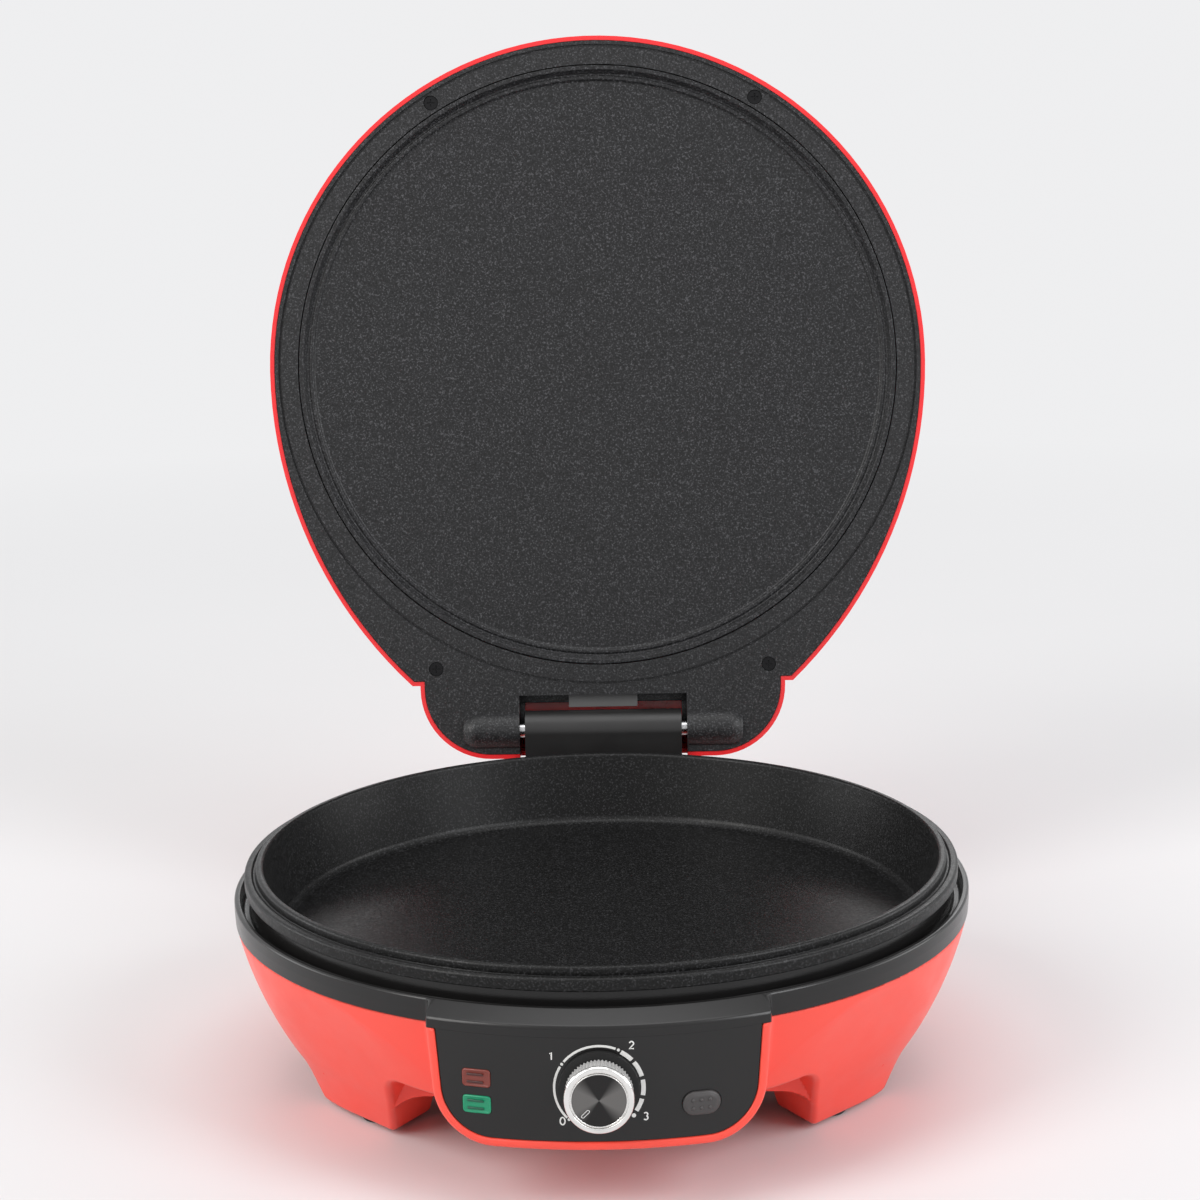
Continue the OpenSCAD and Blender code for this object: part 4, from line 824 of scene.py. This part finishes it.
def make_plate():
    """The flat plate of the lid with its raised edge."""
    face = LID_FACE
    profile = rounded([
        (0, face + 4, 0), (PLATE_FLAT_R - 1.3, face + 4, 1.2), (PLATE_FLAT_R - 0.2, face + 2.6, 0.7),
        (PLATE_FLAT_R + 1.2, face + 2.6, 0.7), (PLATE_FLAT_R + 2.4, face + 3.4, 0.8),
        (PLATE_R - 3.2, face + 1.2, 1.0), (PLATE_R - 2.5, face + 0.2, 0.5),
        (PLATE_R - 0.5, face + 0.2, 0.5), (PLATE_R, face + 0.8, 0.3), (PLATE_R, face + 4.2, 0.3),
        (PLATE_FLAT_R + 4.6, face + 4.2, 0.5),
        (PLATE_FLAT_R + 2.6, face + 6.5, 0.8), (0, face + 6.5, 0),
    ])
    stands_for(swing_up(lathe("plate_body", profile)), "upper_plate")


make_pan()
make_plate()


# ---- Lid, hinge and grip ----

def softened(obj, width, segments=3, angle=38.0):
    """Rounds the sharp edges of a copy of a CAD node."""
    mod = obj.modifiers.new("soft_edges", "BEVEL")
    mod.width = width * MM
    mod.segments = segments
    mod.limit_method = "ANGLE"
    mod.angle_limit = math.radians(angle)
    mod.use_clamp_overlap = True
    return weighted(obj)


SOFT_NODES = {
    "hinge_block": 0.6, "hinge_tab": 0.4, "lid_grip": 0.5, "knob_collar": 0.4, "lid_screws": 0.15,
}
for node, width in SOFT_NODES.items():
    stands_for(softened(skin(node + "_soft", node), width), node)
stands_for(skin("lid_shell_smooth", "lid_shell", 28), "lid_shell")
stands_for(softened(skin("lid_frame_soft", "lid_frame", 28), 0.25, 2), "lid_frame")


def slab(name, low, high, soft=0.4):
    """A block with soft edges in the closed lid, in millimetres from the pan's axis."""
    (x0, y0, z0), (x1, y1, z1) = low, high
    middle_x, middle_y = (x0 + x1) / 2, (y0 + y1) / 2
    outline = rounded([(x0, y0, soft), (x1, y0, soft), (x1, y1, soft), (x0, y1, soft)], steps=3)
    part = 0.3 * soft
    steps = (
        (soft, z0), (part, z0 + part), (0, z0 + soft), (0, z1 - soft), (part, z1 - part), (soft, z1)
    )
    rows = []
    for inset, z in steps:
        row = []
        for x, y in outline:
            inner_x = x + math.copysign(inset, middle_x - x)
            inner_y = y + math.copysign(inset, middle_y - y)
            row.append(from_axis(inner_x, inner_y, z + LID_FACE))
        rows.append(row)
    return tidy_mesh(loops_to_mesh(name, rows, caps=True), angle=50)


def make_cut_out_ribs():
    """The frame's black ledge and cheeks behind the hinge's cut-out."""
    cut_y = HINGE_Y - 19
    ledge_half = 45.5
    cheek_in, cheek_out = 42.4, 46.5
    ribs = [slab("ledge", (-ledge_half, cut_y - 1.5, 9.4), (ledge_half, cut_y + 4.8, 11.2))]
    for s in (-1, 1):
        left, right = sorted((s * cheek_in, s * cheek_out))
        ribs.append(slab("cheek", (left, cut_y, 15.3), (right, cut_y + 23, 16.6)))
    extra(swing_up(joined("cut_out_ribs", ribs)), "lid_frame")


make_cut_out_ribs()


# ---- Marks, knob, lamps and button on the panel ----

# How far the print reaches into the panel and stands out of it
PRINT_FOOT = -0.05
PRINT_TOP = 0.10


def on_panel(x, z, height):
    """A point over the panel's curved face, height in front of it."""
    return from_axis(x, -math.sqrt((PANEL_R + height) ** 2 - x * x), z)


def box_outline(w, h, corner, inset=0.0, steps=6):
    """A rectangle with round corners, as (x, z) points round the origin."""
    half_w, half_h = w / 2 - inset, h / 2 - inset
    c = max(0.05, min(corner - inset, half_w, half_h))
    points = []
    for q, (sx, sz) in enumerate(((1, 1), (-1, 1), (-1, -1), (1, -1))):
        for k in range(steps + 1):
            a = math.pi / 2 * (q + k / steps)
            points.append((sx * (half_w - c) + c * math.cos(a), sz * (half_h - c) + c * math.sin(a)))
    return points


def pillow(name, x, z, outline, rows):
    """A raised shape on the panel: rows of (inset, height) from its foot to its top."""
    loops = [[on_panel(x + u, z + v, height) for u, v in outline(inset)] for inset, height in rows]
    return tidy_mesh(loops_to_mesh(name, loops, caps=True), angle=50)


def ribbon(name, points, width, closed=False):
    """A flat printed line of some width along (x, z) points on the panel."""
    n = len(points)
    left, right = [], []
    for i, (x, z) in enumerate(points):
        before = points[(i - 1) % n] if closed or i > 0 else points[i]
        after = points[(i + 1) % n] if closed or i < n - 1 else points[i]
        along = Vector((after[0] - before[0], after[1] - before[1])).normalized() * (width / 2)
        left.append((x - along.y, z + along.x))
        right.append((x + along.y, z - along.x))
    loops = [[on_panel(x, z, h) for x, z in side] for side, h in (
        (left, PRINT_FOOT), (left, PRINT_TOP), (right, PRINT_TOP), (right, PRINT_FOOT)
    )]
    return tidy_mesh(loops_to_mesh(name, loops, closed_loop=closed, closed_rows=True), angle=50)


def arc_points(radius, start, end, steps, middle=(0, 0), squash=1.0):
    """Points of an arc seen from the front, in degrees from the right, counter-clockwise."""
    out = []
    for k in range(steps + 1):
        a = math.radians(start + (end - start) * k / steps)
        out.append((middle[0] + radius * squash * math.cos(a), middle[1] + radius * math.sin(a)))
    return out


def disc_outline(radius):
    """Gives the outline of a disc for each inset."""
    return lambda inset: arc_points(radius - inset, 0, 345, 23)


DIAL_R = 19.2
DIAL_MARKS = {"0": 227, "1": 145, "2": 64, "3": -41}
DIAL_DASHES = ((60, 42), (37.5, 15.5), (10.5, -11), (-16, -34))
NUMBER_AT = {"0": (-15.9, -14.8), "1": (-20.2, 14.6), "2": (14.0, 19.2), "3": (19.6, -13.2)}
NUMBER_H = 3.3
NUMBER_STROKE = 0.58
LINE_ARCS = ((223.5, 149), (141, 68))
LINE_W = 1.0
DASH_W = 1.9
DOT_R = 0.65
LAST_DOT_R = 0.95


def digit_strokes(digit):
    """The strokes of a plain number one unit high round the origin."""
    if digit == "0":
        return [(arc_points(0.5, 0, 360, 28, squash=0.62)[:-1], True)]
    if digit == "1":
        return [([(-0.2, 0.3), (0.04, 0.5), (0.04, -0.5)], False)]
    if digit == "2":
        bow = arc_points(0.27, 165, -45, 14, (0, 0.23))
        return [(bow + [(-0.29, -0.47), (0.31, -0.47)], False)]
    upper = arc_points(0.24, 150, -80, 12, (-0.01, 0.26))
    lower = arc_points(0.27, 80, -150, 14, (-0.01, -0.23))
    return [(upper + lower, False)]


def make_marks():
    """The printed dial: lines, dashes, dots and plain numbers."""
    pieces = []
    for start, end in LINE_ARCS:
        line = [(x, z + KNOB_Z) for x, z in arc_points(DIAL_R, start, end, 40)]
        pieces.append(ribbon("line", line, LINE_W))
    for start, end in DIAL_DASHES:
        dash = [(x, z + KNOB_Z) for x, z in arc_points(DIAL_R - 0.4, start, end, 14)]
        pieces.append(ribbon("dash", dash, DASH_W))
    for digit, a in DIAL_MARKS.items():
        x, z = arc_points(DIAL_R, a, a, 1)[0]
        dot = disc_outline(LAST_DOT_R if digit == "3" else DOT_R)
        pieces.append(pillow("dot", x, z + KNOB_Z, dot, [(0, PRINT_FOOT), (0, PRINT_TOP)]))
    for digit, (x, z) in NUMBER_AT.items():
        for points, closed in digit_strokes(digit):
            line = [(x + u * NUMBER_H, z + KNOB_Z + v * NUMBER_H) for u, v in points]
            pieces.append(ribbon("number", line, NUMBER_STROKE, closed=closed))
    extra(joined("dial_marks", pieces), "control_panel", PRINT)


KNOB_GRIP_FRONT = KNOB_FRONT - 1.6
KNOB_GRIP_BACK = PANEL_R + 3
KNOB_RIBS = 56
RIB_MIDDLE_R = KNOB_R - 0.85
RIB_HALF = 0.35
DISC_FACE = KNOB_FRONT - 0.45
SLOT_A = math.radians(225)
SLOT_AT_R = 8.2
SLOT_W = 4.6
SLOT_H = 1.5
SLOT_LINE_W = 0.28
SLOT_LINE_H = 0.22


def make_knob_rim():
    """The bright ring round the knob's front, with the thin one round its disc."""
    rim = rounded([
        (-0.2, DISC_R + 0.1, 0), (1.25, DISC_R + 0.1, 0.2), (1.25, DISC_R + 0.62, 0.2),
        (0.4, DISC_R + 0.72, 0), (0.4, DISC_R + 1.0, 0), (1.45, DISC_R + 1.1, 0.25),
        (1.6, DISC_R + 1.9, 0.5), (1.45, KNOB_R - 0.5, 0.8), (0.5, KNOB_R, 0.5), (-0.2, KNOB_R, 0),
    ], steps=4)
    stands_for(turned("knob_rim", rim, (0, -KNOB_GRIP_FRONT, KNOB_Z), 144), "knob_ring")


def make_knob_grip():
    """The ribbed side of the knob, with six points to a rib."""
    back, front = KNOB_GRIP_BACK, KNOB_GRIP_FRONT
    steps = (
        (back, 1.2), (back, 0.4), (back + 0.5, 0.0), (front - 0.4, 0.0), (front, 0.3), (front, 3.6)
    )
    rows = []
    for y, shrink in steps:
        row = []
        for i in range(6 * KNOB_RIBS):
            a = 2 * math.pi * i / (6 * KNOB_RIBS)
            r = RIB_MIDDLE_R - shrink + RIB_HALF * math.cos(KNOB_RIBS * a)
            row.append(from_axis(r * math.cos(a), -y, KNOB_Z + r * math.sin(a)))
        rows.append(row)
    knob = tidy_mesh(loops_to_mesh("knob_grip", rows, caps=True), angle=50)
    stands_for(weighted(knob), "knob")


def slot_points(inset):
    """The outline of the slot in the knob's disc, as (x, z) points round the knob's axis."""
    points = []
    for u, v in box_outline(SLOT_W, SLOT_H, SLOT_H / 2, inset, 8):
        out = SLOT_AT_R + u
        points.append((
            out * math.cos(SLOT_A) - v * math.sin(SLOT_A),
            out * math.sin(SLOT_A) + v * math.cos(SLOT_A),
        ))
    return points


def make_knob_pointer():
    """The thin bright line round the slot."""
    inner, outer = slot_points(SLOT_LINE_W), slot_points(0.0)
    loops = [[from_axis(x, -(DISC_FACE + h), KNOB_Z + z) for x, z in side] for side, h in (
        (outer, 0), (outer, SLOT_LINE_H), (inner, SLOT_LINE_H), (inner, 0)
    )]
    line = tidy_mesh(loops_to_mesh("knob_pointer", loops, closed_rows=True), angle=50)
    extra(line, "knob_cap", MAT["knob_chrome"])


LENS_X = -52.6
LENS_Z = (KNOB_Z + 2.6, KNOB_Z + 2.6 - 12)
LENS_W = 12.3
LENS_H = 8.0
LENS_CORNER_R = 1.6
LENS_BAR_X = LENS_X - 0.6
LENS_BAR_W = 7.2
LENS_BAR_H = 1.0
LENS_BAR_CORNER_R = 0.45
LENS_BAR_RISE = 1.7


def make_lens(node, z):
    """A moulded lens with a raised frame of two steps and two bars across it, coloured in painted shade."""
    def outline(w, h, corner):
        return lambda inset: box_outline(w, h, corner, inset)

    body = pillow(node + "_body", LENS_X, z, outline(LENS_W, LENS_H, LENS_CORNER_R), [
        (0, -PANEL_T - 0.4), (0, 0.25), (0.12, 0.5), (0.4, 0.66), (0.75, 0.66), (0.95, 0.5), (1.15, 0.42),
    ])
    rows = [(0, 0.2), (0, 0.75), (0.14, 0.92), (0.35, 0.96)]
    bar = outline(LENS_BAR_W, LENS_BAR_H, LENS_BAR_CORNER_R)
    bars = [pillow("bar", LENS_BAR_X, z + rise, bar, rows) for rise in (-LENS_BAR_RISE, LENS_BAR_RISE)]
    stands_for(body, node)
    # The bars take the darker copy of the lens's colour: painted shade.
    extra(joined(node + "_bars", bars), node, LENS_PAINTED_SHADE[node])


BUTTON_AT = (43.5, KNOB_Z - 9)
BUTTON_W = 16.4
BUTTON_H = 10.6
BUMP_R = 0.85
BUMP_STEP_X = 3.6
BUMP_STEP_Z = 1.8


def make_button():
    """The oval button with six bumps."""
    def oval(inset):
        return box_outline(BUTTON_W, BUTTON_H, BUTTON_H / 2, inset, 12)

    body = pillow("button", *BUTTON_AT, oval, [
        (0, -PANEL_T - 0.6), (0, 0.7), (0.15, 1.15), (0.5, 1.4),
        (0.9, 1.5), (1.2, 1.62), (1.6, 1.86), (2.2, 1.9),
    ])
    bumps = []
    for i in (-1, 0, 1):
        for s in (-1, 1):
            bumps.append(pillow(
                "bump", BUTTON_AT[0] + BUMP_STEP_X * i, BUTTON_AT[1] + BUMP_STEP_Z * s, disc_outline(BUMP_R),
                [(0, 1.7), (0, 1.95), (0.12, 2.2), (0.35, 2.38), (0.6, 2.45)],
            ))
    stands_for(joined("button_oval", [body] + bumps), "release_button")


make_marks()
make_knob_rim()
make_knob_grip()
make_knob_pointer()
make_lens("power_lens", LENS_Z[0])
make_lens("ready_lens", LENS_Z[1])
make_button()


# ---- Camera, floor and light ----

def place_camera():
    """The camera of the photograph, solved from the circles of the ring, the pan and the lid."""
    yaw, pitch, roll = -0.0130, 0.2337, -0.0197
    at = Vector((0.02049, -1.42256 + AXIS_Y, 0.5680))
    focal_px = 3116.3
    image_px = 1200.0
    ahead = Vector((math.sin(yaw) * math.cos(pitch), math.cos(yaw) * math.cos(pitch), -math.sin(pitch)))
    level = Vector((math.cos(yaw), -math.sin(yaw), 0))
    up = level.cross(ahead)
    right = math.cos(roll) * level + math.sin(roll) * up
    top = math.cos(roll) * up - math.sin(roll) * level
    data = bpy.data.cameras.new("camera")
    data.sensor_width = 36.0
    data.lens = 36.0 * focal_px / image_px
    data.clip_start = 0.05
    data.clip_end = 80.0
    cam = bpy.data.objects.new("camera", data)
    SCENE.collection.objects.link(cam)
    cam.matrix_world = Matrix((
        (right.x, top.x, -ahead.x, at.x),
        (right.y, top.y, -ahead.y, at.y),
        (right.z, top.z, -ahead.z, at.z),
        (0, 0, 0, 1),
    ))
    SCENE.camera = cam


def soft_light(name, at, towards, size, power, color=(1, 1, 1)):
    """A softbox of some width and height, in metres, that faces a point."""
    data = bpy.data.lights.new(name, "AREA")
    data.shape = "RECTANGLE"
    data.size, data.size_y = size
    data.energy = power
    data.color = color
    lamp = bpy.data.objects.new(name, data)
    SCENE.collection.objects.link(lamp)
    lamp.location = at
    lamp.rotation_euler = (Vector(towards) - Vector(at)).to_track_quat("-Z", "Y").to_euler()


PALE = (0.86, 0.86, 0.87)
WORLD_LIGHT = 0.40
FLOOR_HALF = 30.0
# Distances from the middle, in metres, between which the floor fades into the surround
FADE_START = 0.45
FADE_END = 1.6


def pale_floor():
    """A pale floor that keeps the object's shadow and fades into the pale surround further out."""
    low, high = -FLOOR_HALF, FLOOR_HALF
    corners = [(low, low, 0), (high, low, 0), (high, high, 0), (low, high, 0)]
    floor = new_object("floor", corners, [(0, 1, 2, 3)])
    mat, tree, bsdf, at = base_material("floor", (0.71, 0.71, 0.72), 0.75, specular=0.2)
    tree.links.new(
        ramp(tree, noise(tree, at, 3, 2), [(0.3, (0.70, 0.70, 0.71)), (0.7, (0.72, 0.72, 0.73))]),
        bsdf.inputs["Base Color"],
    )
    reach = tree.nodes.new("ShaderNodeVectorMath")
    reach.operation = "LENGTH"
    tree.links.new(at, reach.inputs[0])
    away = span(tree, reach.outputs["Value"], 0, 1, FADE_START, FADE_END)
    path = tree.nodes.new("ShaderNodeLightPath")
    both = tree.nodes.new("ShaderNodeMath")
    both.operation = "MULTIPLY"
    tree.links.new(away, both.inputs[0])
    tree.links.new(path.outputs["Is Camera Ray"], both.inputs[1])
    glow = tree.nodes.new("ShaderNodeEmission")
    glow.inputs["Color"].default_value = (*PALE, 1)
    mix = tree.nodes.new("ShaderNodeMixShader")
    tree.links.new(both.outputs[0], mix.inputs[0])
    tree.links.new(bsdf.outputs[0], mix.inputs[1])
    tree.links.new(glow.outputs[0], mix.inputs[2])
    tree.links.new(mix.outputs[0], tree.nodes["Material Output"].inputs["Surface"])
    floor.data.materials.append(mat)


def pale_world():
    """The surround: pale to the camera and in gloss, and soft as light."""
    world = bpy.data.worlds.new("studio")
    SCENE.world = world
    world.use_nodes = True
    tree = world.node_tree
    tree.nodes.clear()
    out = tree.nodes.new("ShaderNodeOutputWorld")
    path = tree.nodes.new("ShaderNodeLightPath")
    shade = None
    for ray, color, strength in (
        (None, (1, 1, 1), WORLD_LIGHT),
        ("Is Glossy Ray", PALE, 1.0),
        ("Is Transmission Ray", PALE, 1.0),
        ("Is Camera Ray", PALE, 1.0),
    ):
        glow = tree.nodes.new("ShaderNodeBackground")
        glow.inputs["Color"].default_value = (*color, 1)
        glow.inputs["Strength"].default_value = strength
        if ray is None:
            shade = glow.outputs[0]
            continue
        mix = tree.nodes.new("ShaderNodeMixShader")
        tree.links.new(path.outputs[ray], mix.inputs[0])
        tree.links.new(shade, mix.inputs[1])
        tree.links.new(glow.outputs[0], mix.inputs[2])
        shade = mix.outputs[0]
    tree.links.new(shade, out.inputs["Surface"])


place_camera()
pale_floor()
pale_world()
soft_light("key", (-1.5, -1.2, 1.4), (0, 0, 0.2), (1.0, 1.6), 28, (1, 0.985, 0.96))
soft_light("fill", (1.6, -1.2, 1.2), (0, 0, 0.2), (0.9, 1.6), 24, (0.97, 0.98, 1))
soft_light("left_side", (-1.7, 0.25, 0.55), (0, 0, 0.1), (0.9, 0.8), 7)
soft_light("right_side", (1.7, 0.25, 0.55), (0, 0, 0.1), (0.9, 0.8), 7)
soft_light("top", (0.0, -0.2, 2.2), (0, 0, 0.1), (1.6, 1.2), 12)
soft_light("back", (0.3, 2.0, 1.4), (0, 0.1, 0.2), (1.6, 1.0), 12)
SCENE.view_settings.view_transform = "Standard"


def plain(corners):
    """The two corners of a box as plain lists."""
    return [list(corners[0]), list(corners[1])]
